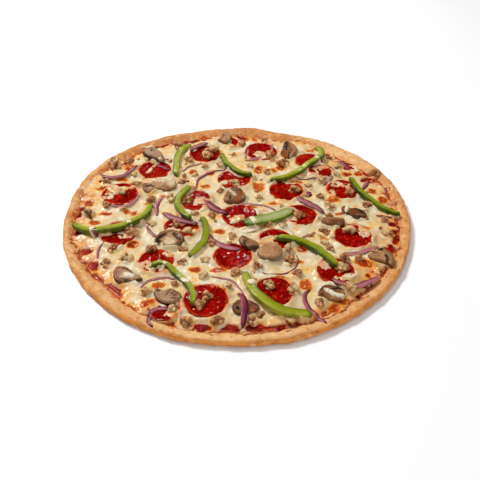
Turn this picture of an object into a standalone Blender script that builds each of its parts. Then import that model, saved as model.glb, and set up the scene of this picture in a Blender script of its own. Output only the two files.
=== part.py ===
"""Thin crust pizza with sauce, melted cheese, pepperoni, sausage, mushrooms, green pepper and red onion.

The origin is the centre of the flat underside, +Z is up, and +Y points away from the diner.
Sizes and places in the constants below are millimetres and degrees, and MM makes them metres.
Each topping rests on what lies under it, so its height follows from its place and the layers below.
"""

import math
import random

import bmesh
import bpy
from mathutils import Vector, noise
from mathutils.geometry import interpolate_bezier, tessellate_polygon

MM = 0.001
GAP = 0.35  # clear space between a piece and what it rests on

# Dough
FLOOR = 3.2  # thickness of the dough under the sauce
RIM_TOP = 7.6
RIM_LUMP = 0.6
FOOT_INSET = 3.5  # from the edge to where the rounded side meets the flat underside
CRUST_STEPS = 84
BUBBLE = (86, 168, 24, 1.8)  # angle, distance from the centre, spread and height of the one large blister
# The hand-stretched edge: angle anticlockwise from +X, distance from the centre, width of the bare rim
EDGE = (
    (0, 180, 13), (20, 183.5, 13), (35, 184.5, 21), (48, 183, 21), (60, 180, 17), (72, 177, 19),
    (87, 180, 19), (105, 179.5, 19), (122, 183.5, 16), (147, 187, 16), (160, 184, 12), (180, 179, 12),
    (195, 178.5, 11), (212, 177, 14), (227, 178, 16), (250, 179, 14), (268, 178.5, 13), (288, 180, 14),
    (302, 178.7, 15), (320, 178, 13), (345, 178, 12),
)

# Sauce and cheese
SAUCE_TOP = 4.3
CHEESE_BASE = SAUCE_TOP + GAP
CHEESE_TOP = 7.0
CHEESE_WAVE = 0.35
CHEESE_INSET = 3.0  # from the sauce's edge to the cheese's, on average
CHEESE_STEPS = 56
CHEESE_RINGS = 6

# Pepperoni: x, y, radius
PEPPERONI = (
    (-95, 77, 19), (-39, 111, 19), (28, 117, 20), (84, 96, 16), (94, 69, 13), (-3, 58, 19),
    (54, 36, 19), (116, 37, 18), (-127, 28, 20), (-45, 17, 18), (3, -11, 19), (66, -9, 17),
    (-117, -40, 18), (-56, -30, 18), (-76, -81, 17), (-4, -74, 19), (38, -50, 17), (115, -44, 19),
    (91, -95, 18), (33, -121, 18), (-27, -132, 20), (-62, -142, 14), (-11, 139, 13),
)
PEPPERONI_THICK = 1.8
PEPPERONI_CURL = 0.8
PEPPERONI_STEPS = 14

# Mushroom slices: x, y, rise of the +Y end in degrees, then the outline about that place
MUSHROOMS = (
    (-102, 102, 10, (
        (1, 13), (6, 9.5), (10, 5), (13, 2.5), (15, -2.5), (18, -9.5), (16, -12.5), (11, -12.5),
        (7, -11), (2, -8.5), (-3, -6.5), (-8, -1.5), (-10, 1.5), (-9, 6), (-4, 11),
    )),
    (-86, 46, 0, (
        (-19, 1), (-15, 2.5), (-10, 2.5), (-7, 6.5), (-4, 10.5), (4, 14), (13, 13), (18, 7), (19, -1),
        (17, -8), (11, -13.5), (5, -11.5), (0, -8), (-5, -10.5), (-7, -14.5), (-13, -15.5), (-17, -11.5),
        (-19, -4),
    )),
    (-17, 143, 12, (
        (2, 9), (7, 8), (9, 2.5), (9, -3.5), (8, -9), (1, -10), (-6, -8.5), (-8, -6), (-6, -3),
        (-3, -1.5), (-2, 3.5),
    )),
    (62, 113, 14, (
        (-5, 14), (0, 14.5), (6, 10), (10, 4), (9, -4), (4, -10), (2, -14), (-2, -14), (-6, -12.5),
        (-10, -6.5), (-11, -2), (-6, 0.5), (-6, 6), (-7, 10),
    )),
    (-3, 23, 8, (
        (-5, 12), (0, 13), (6, 11), (9, 8), (11, 3.5), (13, -1.5), (12, -7), (8, -10), (4, -12.5),
        (-2, -13.5), (-8, -12), (-11, -9.5), (-12, -3.5), (-10, 2), (-7, 7),
    )),
    (123, -6, 0, (
        (-10, 12.5), (-7, 9), (-4, 6.5), (1, 7.5), (6, 5.5), (10, 1.5), (12, -4), (10, -7), (4, -10),
        (-1, -12), (-5, -8), (-8, -1), (-13, 2.5), (-14, 9),
    )),
    (97, -26, 8, (
        (-12, 5), (0, 5.5), (11, 4.5), (12.5, 1), (11, -4), (7, -5.5), (-1, -5), (-8, -4), (-12, 0),
    )),
    (-65, -50, 0, (
        (-15, -7), (-14, 0), (-11, 7), (-6, 10), (2, 11), (8, 9), (12, 4), (15, -3), (14, -8), (9, -7),
        (7, -12), (1, -14.5), (-5, -12.5), (-7, -6.5), (-10, -7),
    )),
    (12, -58, 6, (
        (-10, 5), (-7, 8.5), (-2, 6), (3, 2.5), (9, -1), (10, -5.5), (7, -9), (2, -9.5), (-3, -8.5),
        (-8, -4), (-10, 1.5),
    )),
    (32, -70, 0, (
        (-2, 12), (4, 12), (9, 8), (12, 2.5), (12, -4), (9, -9), (3, -11.5), (-4, -11.5), (-10, -9.5),
        (-13, -5), (-12, 0.5), (-8, 7),
    )),
    (136, -76, 0, (
        (-2, 10), (2, 12), (7, 10), (11, 5), (13, -1.5), (12, -9), (9, -13.5), (6, -12.5), (5, -8.5),
        (2, -8.5), (-3, -5), (-9, -4), (-12, 0.5), (-12, 3), (-6, 6), (-3, 7),
    )),
    (84, -124, 0, (
        (-12, 1), (-10, 6), (-5, 10), (2, 9), (8, 7), (12, 3), (11, -2), (11, -6), (6, -9), (-1, -9.5),
        (-6, -7), (-10, -6.5), (-13, -4),
    )),
    (-99, -101, 0, (
        (-12, 11), (-7, 12), (-1, 10), (3, 6), (7, 1.5), (13, -1.5), (15, -6), (11, -9), (6, -5.5),
        (1, -7), (-5, -11.5), (-10, -8.5), (-13, -2), (-14, 5.5),
    )),
    (-60, -131, 0, (
        (-13, 6), (-11, 10), (-7, 8.5), (-3, 6.5), (2, 10), (7, 7), (12, 4), (13, -1), (11, -6),
        (5, -8.5), (-3, -7.5), (-8, -4), (-11, 0),
    )),
    (8, -141, 0, (
        (-11, 4), (-8, 8), (0, 9), (6, 7), (12, 2.5), (12, -2.5), (7, -8), (1, -9.5), (-5, -8.5),
        (-10, -6.5), (-12, -1),
    )),
    (-154, -9, 16, (
        (-6, 4), (-3, 5.5), (3, 5), (5, 2.5), (2.5, 0.5), (6, -6), (3, -6.5), (-1.5, 0.5), (-4.5, 2),
    )),
)
MUSHROOM_THICK = 3.6
MUSHROOM_BEVEL = 0.7

# Pepper strips: width, height, then the route's points from end to end
PEPPERS = (
    (7.5, 5.5, ((-57, 131), (-65, 123), (-69, 112), (-71, 96), (-70, 78), (-69, 64))),
    (6.5, 5.0, ((-19, 107), (-16, 97), (-10, 82), (-1, 69), (8, 63), (17, 62))),
    (8.0, 5.0, ((94, 124), (100, 119), (100, 106), (92, 89), (81, 78), (68, 66), (54, 55), (37, 50))),
    (6.5, 5.0, ((127, 55), (129, 41), (134, 27), (141, 17), (155, -1), (169, -9))),
    (7.0, 5.2, ((-50, 37), (-57, 27), (-62, 15), (-62, 3), (-58, -8), (-52, -18), (-46, -23))),
    (8.0, 6.0, (
        (-165, -25), (-158, -33), (-149, -38), (-138, -40), (-118, -36), (-109, -30), (-100, -20),
        (-93, -7), (-90, 8),
    )),
    (7.0, 5.0, ((-36, -21), (-32, -29), (-30, -39), (-31, -50), (-36, -62), (-45, -75))),
    (12.5, 4.0, ((7, -24), (16, -24), (26, -22), (36, -18), (46, -13), (57, -5))),
    (8.5, 6.0, ((39, -51), (49, -53), (60, -56), (69, -60), (76, -67), (84, -79), (93, -93))),
    (6.0, 5.0, (
        (-78, -92), (-71, -88), (-65, -90), (-58, -96), (-48, -108), (-40, -121), (-37, -132), (-38, -141),
    )),
    (8.0, 6.0, ((8, -98), (9, -107), (13, -119), (20, -133), (30, -143), (42, -148), (64, -150))),
)
PEPPER_TAPER = 0.55  # width at the ends, as a share

# Red onion slivers: width, height, then the route's points
ONIONS = (
    (4.0, 2.6, ((-155, 66), (-147, 62), (-138, 61), (-129, 65), (-122, 73), (-115, 82))),
    (5.5, 2.6, ((-57, 116), (-48, 125), (-42, 130), (-36, 133))),
    (5.5, 2.4, ((-77, -5), (-70, -13), (-62, -19), (-51, -24), (-39, -27))),
    (6.0, 2.6, ((-32, 12), (-28, 5), (-21, -3), (-10, -11))),
    (6.0, 2.4, ((64, 21), (70, 12), (78, 5), (91, -5))),
    (5.0, 2.6, ((86, -108), (92, -114), (100, -117), (110, -114), (120, -109), (129, -102))),
    (4.5, 2.8, ((1, -124), (5, -131), (7, -140), (7, -150), (5, -164))),
)
ONION_TAPER = 0.35
# Slivers sunk in the cheese, which are fused to it
SUNK_ONIONS = (
    (3.0, 2.2, ((-63, 76), (-58, 84), (-49, 89), (-41, 90))),
    (3.5, 2.2, ((-11, 78), (-22, 76), (-34, 71), (-42, 62), (-45, 51), (-44, 40))),
    (4.0, 2.2, ((-75, 25), (-82, 19), (-85, 8), (-83, -3))),
    (3.5, 2.2, ((-28, -43), (-23, -49), (-15, -56))),
    (3.0, 2.2, ((148, 61), (144, 50), (140, 42))),
    (3.5, 2.2, ((102, -68), (111, -70), (120, -67))),
    (2.4, 2.0, ((57, -71), (58, -79), (55, -88), (48, -95), (40, -98), (31, -98), (24, -95))),
    (2.6, 2.0, ((-20, -101), (-12, -103), (-4, -107), (2, -115), (5, -121))),
    (3.0, 2.0, ((-86, -116), (-81, -108), (-74, -104), (-65, -103))),
    (2.6, 2.2, ((-131, -57), (-133, -64), (-132, -74))),
    (3.5, 2.2, ((66, -118), (61, -125), (60, -132), (62, -138))),
    (4.0, 2.2, ((78, 36), (78, 30), (77, 24))),
)
SUNK = 0.9  # how far such a sliver's underside lies below the cheese

# Sausage crumbles: x, y, size
SAUSAGE = (
    (-147, 101, 13), (-128, 99, 12), (-141, 84, 14), (-116, 68, 9), (-73, 131, 13), (-82, 98, 10),
    (-31, 119, 13), (-34, 103, 11), (-56, 97, 10), (-19, 88, 12), (-6, 111, 7), (33, 147, 10),
    (5, 134, 10), (-38, 84, 9), (35, 75, 9), (38, 106, 12), (14, 86, 8), (-60, 66, 8), (53, 91, 13),
    (-48, 66, 8), (117, 86, 10), (157, 70, 12), (109, 104, 8), (113, 67, 9), (-147, 55, 10),
    (-112, 47, 12), (-125, 28, 10), (-92, 18, 10), (-137, 7, 7), (-120, 2, 8), (-86, -24, 9),
    (-105, -38, 13), (-119, -62, 10), (-72, 20, 12), (-61, 52, 9), (-54, 15, 11), (-43, -6, 9),
    (-25, -10, 10), (-18, 36, 8), (-1, 48, 10), (23, 22, 9), (63, 33, 12), (-59, -26, 11),
    (-50, -37, 10), (-5, -45, 10), (-25, -54, 10), (46, -27, 9), (33, -28, 8), (64, -11, 11),
    (78, 46, 9), (94, 53, 10), (89, 25, 10), (123, 30, 12), (97, 6, 12), (95, -10, 8), (138, 8, 12),
    (112, -36, 12), (88, -36, 12), (152, -16, 10), (151, -39, 11), (86, -53, 10), (90, -62, 9),
    (72, -42, 7), (-105, -77, 12), (-122, -84, 11), (-82, -66, 11), (-80, -121, 10), (-52, -82, 10),
    (-52, -64, 10), (-30, -79, 8), (-31, -100, 9), (-1, -97, 11), (19, -88, 10), (50, -65, 9),
    (50, -80, 11), (55, -98, 10), (-8, -115, 10), (-26, -130, 10), (-30, -139, 11), (29, -115, 11),
    (50, -120, 11), (-43, -157, 13), (-16, -155, 12), (-54, -143, 9), (15, -154, 9), (26, -144, 9),
    (46, -154, 10), (-55, -111, 7), (101, -80, 10), (97, -92, 11), (134, -86, 10), (116, -76, 9),
    (73, -134, 11), (101, -119, 11),
)
SAUSAGE_SEED = 4
SAUSAGE_LIFT = 0.16  # of its size, from the surface up to a crumble's middle
SAUSAGE_SUNK = 1.2  # how far a crumble's flattened underside lies below the surface
SAUSAGE_SHIFT = 4.5  # the furthest that a crumble moves to lie clear of a slice's edge


def around(column, degrees):
    """The edge's value in this column at this angle, eased between the stops."""
    degrees %= 360
    ends = EDGE[1:] + ((EDGE[0][0] + 360, *EDGE[0][1:]),)
    for start, end in zip(EDGE, ends):
        if start[0] <= degrees < end[0]:
            share = (degrees - start[0]) / (end[0] - start[0])
            share = share * share * (3 - 2 * share)
            return start[column] + (end[column] - start[column]) * share
    return EDGE[0][column]


def wave(x, y, size, seed=0.0):
    """Smooth noise from -1 to 1 whose lumps are about this size."""
    return noise.noise(Vector((x / size, y / size, seed)))


def crust_edge(degrees):
    """Distance from the centre to the dough's uneven edge."""
    x, y = math.cos(math.radians(degrees)), math.sin(math.radians(degrees))
    return around(1, degrees) + 0.5 * wave(x, y, 0.12, 8.4)


def rim_width(degrees):
    return around(2, degrees)


def sauce_edge(degrees):
    return crust_edge(degrees) - rim_width(degrees) - 1.5


def cheese_edge(degrees):
    x, y = math.cos(math.radians(degrees)), math.sin(math.radians(degrees))
    return sauce_edge(degrees) - CHEESE_INSET + 2.0 * wave(x, y, 0.16, 5.7)


def cheese_height(x, y):
    return CHEESE_TOP + CHEESE_WAVE * wave(x, y, 62, 1.3)


# Meshes and objects


def add_object(name, mesh, material):
    obj = bpy.data.objects.new(name, mesh)
    bpy.context.scene.collection.objects.link(obj)
    mesh.materials.append(material)
    return obj


def mesh_from(name, bm, smooth=True):
    bmesh.ops.triangulate(bm, faces=bm.faces)
    bmesh.ops.recalc_face_normals(bm, faces=bm.faces)
    mesh = bpy.data.meshes.new(name)
    bm.to_mesh(mesh)
    bm.free()
    if smooth:
        mesh.shade_smooth()
        mesh.set_sharp_from_angle(angle=math.radians(50))
    return mesh


def ring_body(bm, rings, low, high):
    """A closed body of rings that all have the same number of points, between two end points."""
    made = [[bm.verts.new(p) for p in ring] for ring in rings]
    count = len(made[0])
    for lower, upper in zip(made, made[1:]):
        for i in range(count):
            j = (i + 1) % count
            bm.faces.new((lower[i], lower[j], upper[j], upper[i]))
    bottom, top = bm.verts.new(low), bm.verts.new(high)
    for i in range(count):
        j = (i + 1) % count
        bm.faces.new((bottom, made[0][j], made[0][i]))
        bm.faces.new((top, made[-1][i], made[-1][j]))


def polar(radius, degrees, z):
    angle = math.radians(degrees)
    return Vector((radius * math.cos(angle), radius * math.sin(angle), z)) * MM


def angles(steps):
    return [360 * i / steps for i in range(steps)]


def make_material(name, colour, roughness, metallic=0.0):
    material = bpy.data.materials.new(name)
    material.use_nodes = True
    shader = material.node_tree.nodes["Principled BSDF"]
    shader.inputs["Base Color"].default_value = (*colour, 1)
    shader.inputs["Roughness"].default_value = roughness
    shader.inputs["Metallic"].default_value = metallic
    return material


# Dough, sauce and cheese


def rim_height(radius, degrees):
    """Height of the rim's top, with its lumps and the one large blister."""
    angle, middle, spread, height = BUBBLE
    x, y = radius * math.cos(math.radians(degrees)), radius * math.sin(math.radians(degrees))
    bx, by = middle * math.cos(math.radians(angle)), middle * math.sin(math.radians(angle))
    away = math.hypot(x - bx, y - by) / spread
    return RIM_TOP + RIM_LUMP * wave(x, y, 24, 6.2) + height * math.exp(-away * away * 2)


def crust_profile(degrees):
    """(distance from the centre, height) points from the underside's edge round to the floor."""
    edge = crust_edge(degrees)
    width = rim_width(degrees)
    crown = rim_height(edge - 0.45 * width, degrees)
    return (
        (edge - FOOT_INSET, 0),
        (edge - 0.6, 0.9),
        (edge, 3.0),
        (edge - 1.2, crown - 1.9),
        (edge - 0.28 * width, crown - 0.2),
        (edge - 0.62 * width, crown - 0.3),
        (edge - width, FLOOR + 1.4),
        (edge - width - 2, FLOOR),
    )


def crust_height(x, y):
    """Height of the dough's upper side at a point, and of the floor inside the rim."""
    degrees = math.degrees(math.atan2(y, x))
    radius = math.hypot(x, y)
    upper = crust_profile(degrees)[2:]
    for (outer, high), (inner, low) in zip(upper, upper[1:]):
        if inner <= radius <= outer:
            return low + (high - low) * (radius - inner) / (outer - inner)
    return FLOOR if radius < upper[-1][0] else 0


def make_crust(material):
    bm = bmesh.new()
    profiles = [crust_profile(a) for a in angles(CRUST_STEPS)]
    rings = [
        [polar(profile[k][0], a, profile[k][1]) for a, profile in zip(angles(CRUST_STEPS), profiles)]
        for k in range(len(profiles[0]))
    ]
    ring_body(bm, rings, Vector((0, 0, 0)), Vector((0, 0, FLOOR)) * MM)
    return add_object("crust", mesh_from("crust", bm), material)


def make_sauce(material):
    bm = bmesh.new()
    rings = [
        [polar(sauce_edge(a) - inset, a, z) for a in angles(CRUST_STEPS)]
        for inset, z in ((1.5, FLOOR + GAP), (1.5, SAUCE_TOP))
    ]
    low, high = Vector((0, 0, FLOOR + GAP)) * MM, Vector((0, 0, SAUCE_TOP)) * MM
    ring_body(bm, rings, low, high)
    return add_object("sauce", mesh_from("sauce", bm), material)


def make_cheese(material):
    """The melted layer alone, before the crumbles and slivers on it are joined to it."""
    bm = bmesh.new()
    steps = angles(CHEESE_STEPS)
    rings = [
        [polar(cheese_edge(a) - 1.2, a, CHEESE_BASE) for a in steps],
        [polar(cheese_edge(a), a, CHEESE_BASE + 0.8) for a in steps],
    ]
    for k in range(CHEESE_RINGS):
        share = 1 - (k / CHEESE_RINGS) ** 1.15 - (0.012 if k == 0 else 0)
        ring = []
        for a in steps:
            spot = polar(cheese_edge(a) * share, a, 0) / MM
            drop = 0.7 if k == 0 else 0
            ring.append(polar(cheese_edge(a) * share, a, cheese_height(spot.x, spot.y) - drop))
        rings.append(ring)
    low = Vector((0, 0, CHEESE_BASE)) * MM
    high = Vector((0, 0, cheese_height(0, 0))) * MM
    ring_body(bm, rings, low, high)
    return add_object("cheese", mesh_from("cheese", bm), material)


# What each topping rests on


def segment_distance(x, y, a, b):
    """(distance from a point to a stretch between two points, share along it)."""
    dx, dy = b[0] - a[0], b[1] - a[1]
    share = ((x - a[0]) * dx + (y - a[1]) * dy) / max(dx * dx + dy * dy, 1e-9)
    share = min(1, max(0, share))
    return math.hypot(x - a[0] - share * dx, y - a[1] - share * dy), share


def outline_distance(x, y, points):
    """Distance from a point to a closed outline, and 0 inside it."""
    inside, nearest = False, 1e9
    for a, b in zip(points, points[1:] + points[:1]):
        nearest = min(nearest, segment_distance(x, y, a, b)[0])
        if (a[1] > y) != (b[1] > y) and x < a[0] + (y - a[1]) * (b[0] - a[0]) / (b[1] - a[1]):
            inside = not inside
    return 0 if inside else nearest


class Pile:
    """The tops of the pieces laid so far, as discs, outlines and strips."""

    def __init__(self):
        self.discs = []
        self.outlines = []
        self.strips = []

    def height(self, x, y, margin=1.0):
        """The highest surface within the margin of this point."""
        found = max(cheese_height(x, y), crust_height(x, y) + 0.3)
        for cx, cy, radius, top in self.discs:
            if math.hypot(x - cx, y - cy) < radius + margin:
                found = max(found, top)
        for points, top in self.outlines:
            if outline_distance(x, y, points) < margin:
                found = max(found, top)
        for points, half, tops in self.strips:
            for k in range(len(points) - 1):
                away, share = segment_distance(x, y, points[k], points[k + 1])
                if away < half + margin:
                    found = max(found, tops[k] + (tops[k + 1] - tops[k]) * share)
        return found

    def clear(self, x, y, reach):
        """Whether no piece lies within this reach of the point."""
        return self.height(x, y, reach) < CHEESE_TOP + 2 * CHEESE_WAVE + 0.2

    def bare(self, index, x, y, reach):
        """Whether nothing but the disc of this index lies within this reach of the point."""
        others = self.discs[:index] + self.discs[index + 1:]
        apart = all(math.hypot(x - cx, y - cy) > r + reach for cx, cy, r, _ in others)
        apart = apart and all(outline_distance(x, y, points) > reach for points, _ in self.outlines)
        return apart and not any(
            segment_distance(x, y, a, b)[0] < half + reach + 0.6
            for points, half, _ in self.strips
            for a, b in zip(points, points[1:])
        )

    def under_disc(self, x, y, radius):
        """The highest surface under a disc."""
        spots = [(x, y)]
        for share in (0.5, 1.0):
            for a in angles(16):
                angle = math.radians(a)
                spots.append((x + share * radius * math.cos(angle), y + share * radius * math.sin(angle)))
        return max(self.height(*spot) for spot in spots)


# Pepperoni


def make_pepperoni(index, x, y, radius, pile, material):
    """A thin round slice whose edge has curled up a little in the oven."""
    rand = random.Random(index)
    base = pile.under_disc(x, y, radius) + GAP
    steps = angles(PEPPERONI_STEPS)
    turn = rand.uniform(0, 360)
    curl = {a: PEPPERONI_CURL * (0.6 + 0.4 * math.cos(math.radians(2 * a + turn))) for a in steps}
    reach = {a: radius * (1 + 0.02 * math.cos(math.radians(3 * a + turn))) for a in steps}

    def ring(share, height, lift):
        return [
            Vector((x, y, 0)) * MM + polar(reach[a] * share, a, base + height + lift * curl[a])
            for a in steps
        ]

    rings = [
        ring(0.74, 0, 0),
        ring(1.0, PEPPERONI_THICK * 0.4, 1),
        ring(0.95, PEPPERONI_THICK, 1),
        ring(0.66, PEPPERONI_THICK, 0),
    ]
    bm = bmesh.new()
    low = Vector((x, y, base)) * MM
    high = Vector((x, y, base + PEPPERONI_THICK - 0.2)) * MM
    ring_body(bm, rings, low, high)
    name = f"pepperoni_{index + 1:02d}"
    pile.discs.append((x, y, radius, base + PEPPERONI_THICK + PEPPERONI_CURL))
    return add_object(name, mesh_from(name, bm), material)


# Mushroom slices


def drawn_in(points, inset):
    """A clockwise outline made smaller by the same distance all round."""
    smaller = []
    for k, (px, py) in enumerate(points):
        before, after = Vector(points[k - 1]), Vector(points[(k + 1) % len(points)])
        back = (Vector((px, py)) - before).normalized()
        ahead = (after - Vector((px, py))).normalized()
        inward = Vector((back.y + ahead.y, -back.x - ahead.x)).normalized()
        reach = inset / max(0.6, inward.dot(Vector((ahead.y, -ahead.x))))
        smaller.append((px + inward.x * reach, py + inward.y * reach))
    return smaller


def make_mushroom(index, place, pile, material):
    """A slice of mushroom that lies on the cheese, or leans with its far end up."""
    x, y, rise, outline = place
    lean = math.tan(math.radians(rise))
    spots = [(x + px, y + py) for px, py in outline]
    near = min(py for _, py in spots)
    inner = [(x + (px - x) * 0.5, y + (py - y) * 0.5) for px, py in spots]
    base = GAP + max(pile.height(px, py) - (py - near) * lean for px, py in spots + inner + [(x, y)])
    bm = bmesh.new()
    lower = [bm.verts.new(Vector((px, py, base + (py - near) * lean)) * MM) for px, py in spots]
    upper = [
        bm.verts.new(Vector((px, py, base + MUSHROOM_THICK + (py - near) * lean)) * MM)
        for px, py in drawn_in(spots, MUSHROOM_BEVEL)
    ]
    count = len(spots)
    for i in range(count):
        j = (i + 1) % count
        bm.faces.new((lower[i], lower[j], upper[j], upper[i]))
    for a, b, c in tessellate_polygon([[Vector((*spot, 0)) for spot in spots]]):
        bm.faces.new((lower[a], lower[b], lower[c]))
        bm.faces.new((upper[c], upper[b], upper[a]))
    name = f"mushroom_{index + 1:02d}"
    top = base + MUSHROOM_THICK + lean * (max(py for _, py in spots) - near)
    pile.outlines.append((spots, top))
    return add_object(name, mesh_from(name, bm), material)


# Strips of pepper and onion


def smooth_route(points, step):
    """Points about a step apart along a smooth curve through the given ones."""
    spots = [Vector((px, py, 0)) for px, py in points]
    first, last = spots[0] * 2 - spots[1], spots[-1] * 2 - spots[-2]
    padded = [first, *spots, last]
    fine = []
    for before, a, b, after in zip(padded, padded[1:], padded[2:], padded[3:]):
        fine += interpolate_bezier(a, a + (b - before) / 6, b - (after - a) / 6, b, 16)[:-1]
    fine.append(spots[-1])
    along = [0.0]
    for a, b in zip(fine, fine[1:]):
        along.append(along[-1] + (b - a).length)
    count = max(4, round(along[-1] / step))
    route, k = [], 0
    for i in range(count + 1):
        want = along[-1] * i / count
        while k < len(fine) - 2 and along[k + 1] < want:
            k += 1
        share = (want - along[k]) / max(along[k + 1] - along[k], 1e-9)
        route.append(fine[k].lerp(fine[k + 1], min(1, share)))
    return route


def strip_heights(route, half, pile):
    """The underside's height at each station, clear of what lies under the strip on both sides."""
    needs = []
    for a, b in zip(route, route[1:]):
        across = Vector((a.y - b.y, b.x - a.x, 0)).normalized() * half
        spots = [a.lerp(b, s) + across * side for s in (0, 0.33, 0.67, 1) for side in (-1, 0, 1)]
        needs.append(max(pile.height(spot.x, spot.y) for spot in spots))
    return [
        max(needs[max(0, i - 1)], needs[min(i, len(needs) - 1)]) + GAP for i in range(len(route))
    ]


def strip_body(bm, route, heights, width, height, taper, section):
    """A closed strip of this section, drawn in at both ends."""
    count = len(route) - 1
    rings = []
    for i, spot in enumerate(route):
        ahead = route[min(i + 1, count)] - route[max(i - 1, 0)]
        across = Vector((ahead.y, -ahead.x, 0)).normalized()
        ease = math.sin(math.pi * min(i, count - i) / count) ** 0.5
        wide = width * (taper + (1 - taper) * ease)
        tall = height * (0.7 + 0.3 * ease)
        floor = Vector((spot.x, spot.y, heights[i]))
        rings.append([(floor + across * px * wide + Vector((0, 0, pz * tall))) * MM for px, pz in section])
    first = sum(rings[0], Vector()) / len(section)
    last = sum(rings[-1], Vector()) / len(section)
    ring_body(bm, rings, first, last)


PEPPER_SECTION = ((-0.46, 0), (0.46, 0), (0.5, 0.55), (0.34, 1), (-0.34, 0.92), (-0.5, 0.5))
ONION_SECTION = ((-0.5, 0.1), (0.5, 0.1), (0.42, 0.8), (0, 1), (-0.42, 0.8))


def make_strip(name, strip, taper, section, step, pile, material):
    width, height, points = strip
    route = smooth_route(points, step)
    heights = strip_heights(route, width / 2, pile)
    bm = bmesh.new()
    strip_body(bm, route, heights, width, height, taper, section)
    pile.strips.append(([(p.x, p.y) for p in route], width / 2, [h + height for h in heights]))
    return add_object(name, mesh_from(name, bm), material)


# Small toppings, fused to what they lie on


def turned(px, py, degrees):
    c, s = math.cos(math.radians(degrees)), math.sin(math.radians(degrees))
    return px * c - py * s, px * s + py * c


def crumble(index, x, y, size, surface, material):
    """One torn lump of sausage, sunk a little in the surface."""
    bm = bmesh.new()
    bmesh.ops.create_uvsphere(bm, u_segments=6, v_segments=3, radius=1)
    rand = random.Random(SAUSAGE_SEED + index)
    stretch = rand.uniform(0.8, 1.15), rand.uniform(0.8, 1.15), rand.uniform(0.62, 0.85)
    turn = rand.uniform(0, 180)
    for vert in bm.verts:
        lump = (1 + 0.3 * noise.noise(vert.co * 1.4 + Vector((index * 7.3, 0, 0)))) * size / 2
        px, py = turned(vert.co.x * stretch[0] * 1.1, vert.co.y * stretch[1] * 1.1, turn)
        up = surface + SAUSAGE_LIFT * size + vert.co.z * stretch[2] * lump
        vert.co = Vector((x + px * lump, y + py * lump, max(up, surface - SAUSAGE_SUNK))) * MM
    name = f"crumble_{index}"
    return add_object(name, mesh_from(name, bm), material)


def fuse(host, pieces):
    """Joins the pieces to their host with one Boolean, and removes them."""
    group = bpy.data.collections.new(f"on_{host.name}")
    bpy.context.scene.collection.children.link(group)
    for piece in pieces:
        bpy.context.scene.collection.objects.unlink(piece)
        group.objects.link(piece)
    join = host.modifiers.new("join", "BOOLEAN")
    join.operation = "UNION"
    join.operand_type = "COLLECTION"
    join.collection = group
    bpy.context.view_layer.objects.active = host
    bpy.ops.object.modifier_apply(modifier=join.name)
    for piece in pieces:
        bpy.data.objects.remove(piece)
    bpy.data.collections.remove(group)


def settle(x, y, size):
    """(x, y, index of the slice below or None) for a crumble clear of the rim and of any slice's edge."""
    degrees, radius = math.degrees(math.atan2(y, x)), math.hypot(x, y)
    share = min(1, (sauce_edge(degrees) + 0.5 - 0.58 * size) / radius)
    x, y = x * share, y * share
    for k, (cx, cy, r) in enumerate(PEPPERONI):
        away = math.hypot(x - cx, y - cy)
        inside, outside = r - 0.55 * size - 0.8, r + 0.6 * size + 1.2
        if away <= inside:
            return x, y, k
        if away < outside:
            want = inside if away - inside < outside - away else outside
            if abs(want - away) <= SAUSAGE_SHIFT and want > 0:
                x, y = cx + (x - cx) * want / away, cy + (y - cy) * want / away
                if want == inside:
                    return x, y, k
    return x, y, None


def fuse_small_toppings(cheese, slices, pile, sausage, onion):
    """Crumbles go to the pepperoni that they lie on, or to the cheese where nothing else is in the way."""
    on_cheese = []
    on_slice = {index: [] for index in range(len(slices))}
    for index, place in enumerate(SAUSAGE):
        size = place[2]
        x, y, host = settle(*place)
        if host is None and pile.clear(x, y, 0.6 * size):
            on_cheese.append(crumble(index, x, y, size, cheese_height(x, y), sausage))
        elif host is not None and pile.bare(host, x, y, 0.6 * size):
            top = pile.discs[host][3] - PEPPERONI_CURL
            on_slice[host].append(crumble(index, x, y, size, top, sausage))
    for number, (width, height, points) in enumerate(SUNK_ONIONS):
        route = smooth_route(points, 8)
        if all(pile.clear(p.x, p.y, width / 2 + 0.6) for p in route):
            heights = [cheese_height(p.x, p.y) - SUNK for p in route]
            bm = bmesh.new()
            strip_body(bm, route, heights, width, height, ONION_TAPER, ONION_SECTION)
            on_cheese.append(add_object(f"sliver_{number}", mesh_from(f"sliver_{number}", bm), onion))
    fuse(cheese, on_cheese)
    for index, pieces in on_slice.items():
        if pieces:
            fuse(slices[index], pieces)


def clear_scene():
    for obj in list(bpy.data.objects):
        bpy.data.objects.remove(obj)


def main():
    clear_scene()
    dough = make_material("baked_dough", (0.70, 0.40, 0.15), 0.75)
    tomato = make_material("tomato_sauce", (0.38, 0.03, 0.01), 0.4)
    melted = make_material("melted_cheese", (0.80, 0.67, 0.36), 0.35)
    salami = make_material("pepperoni_meat", (0.40, 0.02, 0.01), 0.3)
    fungus = make_material("mushroom_flesh", (0.33, 0.19, 0.10), 0.5)
    capsicum = make_material("green_pepper_flesh", (0.25, 0.40, 0.03), 0.3)
    allium = make_material("red_onion_flesh", (0.42, 0.16, 0.24), 0.35)
    sausage = make_material("sausage_meat", (0.27, 0.17, 0.08), 0.6)

    make_crust(dough)
    make_sauce(tomato)
    cheese = make_cheese(melted)
    pile = Pile()
    slices = [
        make_pepperoni(index, *place, pile, salami) for index, place in enumerate(PEPPERONI)
    ]
    for index, place in enumerate(MUSHROOMS):
        make_mushroom(index, place, pile, fungus)
    for index, strip in enumerate(ONIONS):
        make_strip(f"onion_{index + 1:02d}", strip, ONION_TAPER, ONION_SECTION, 7, pile, allium)
    for index, strip in enumerate(PEPPERS):
        make_strip(f"pepper_{index + 1:02d}", strip, PEPPER_TAPER, PEPPER_SECTION, 9, pile, capsicum)
    fuse_small_toppings(cheese, slices, pile, sausage, allium)


main()
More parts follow.
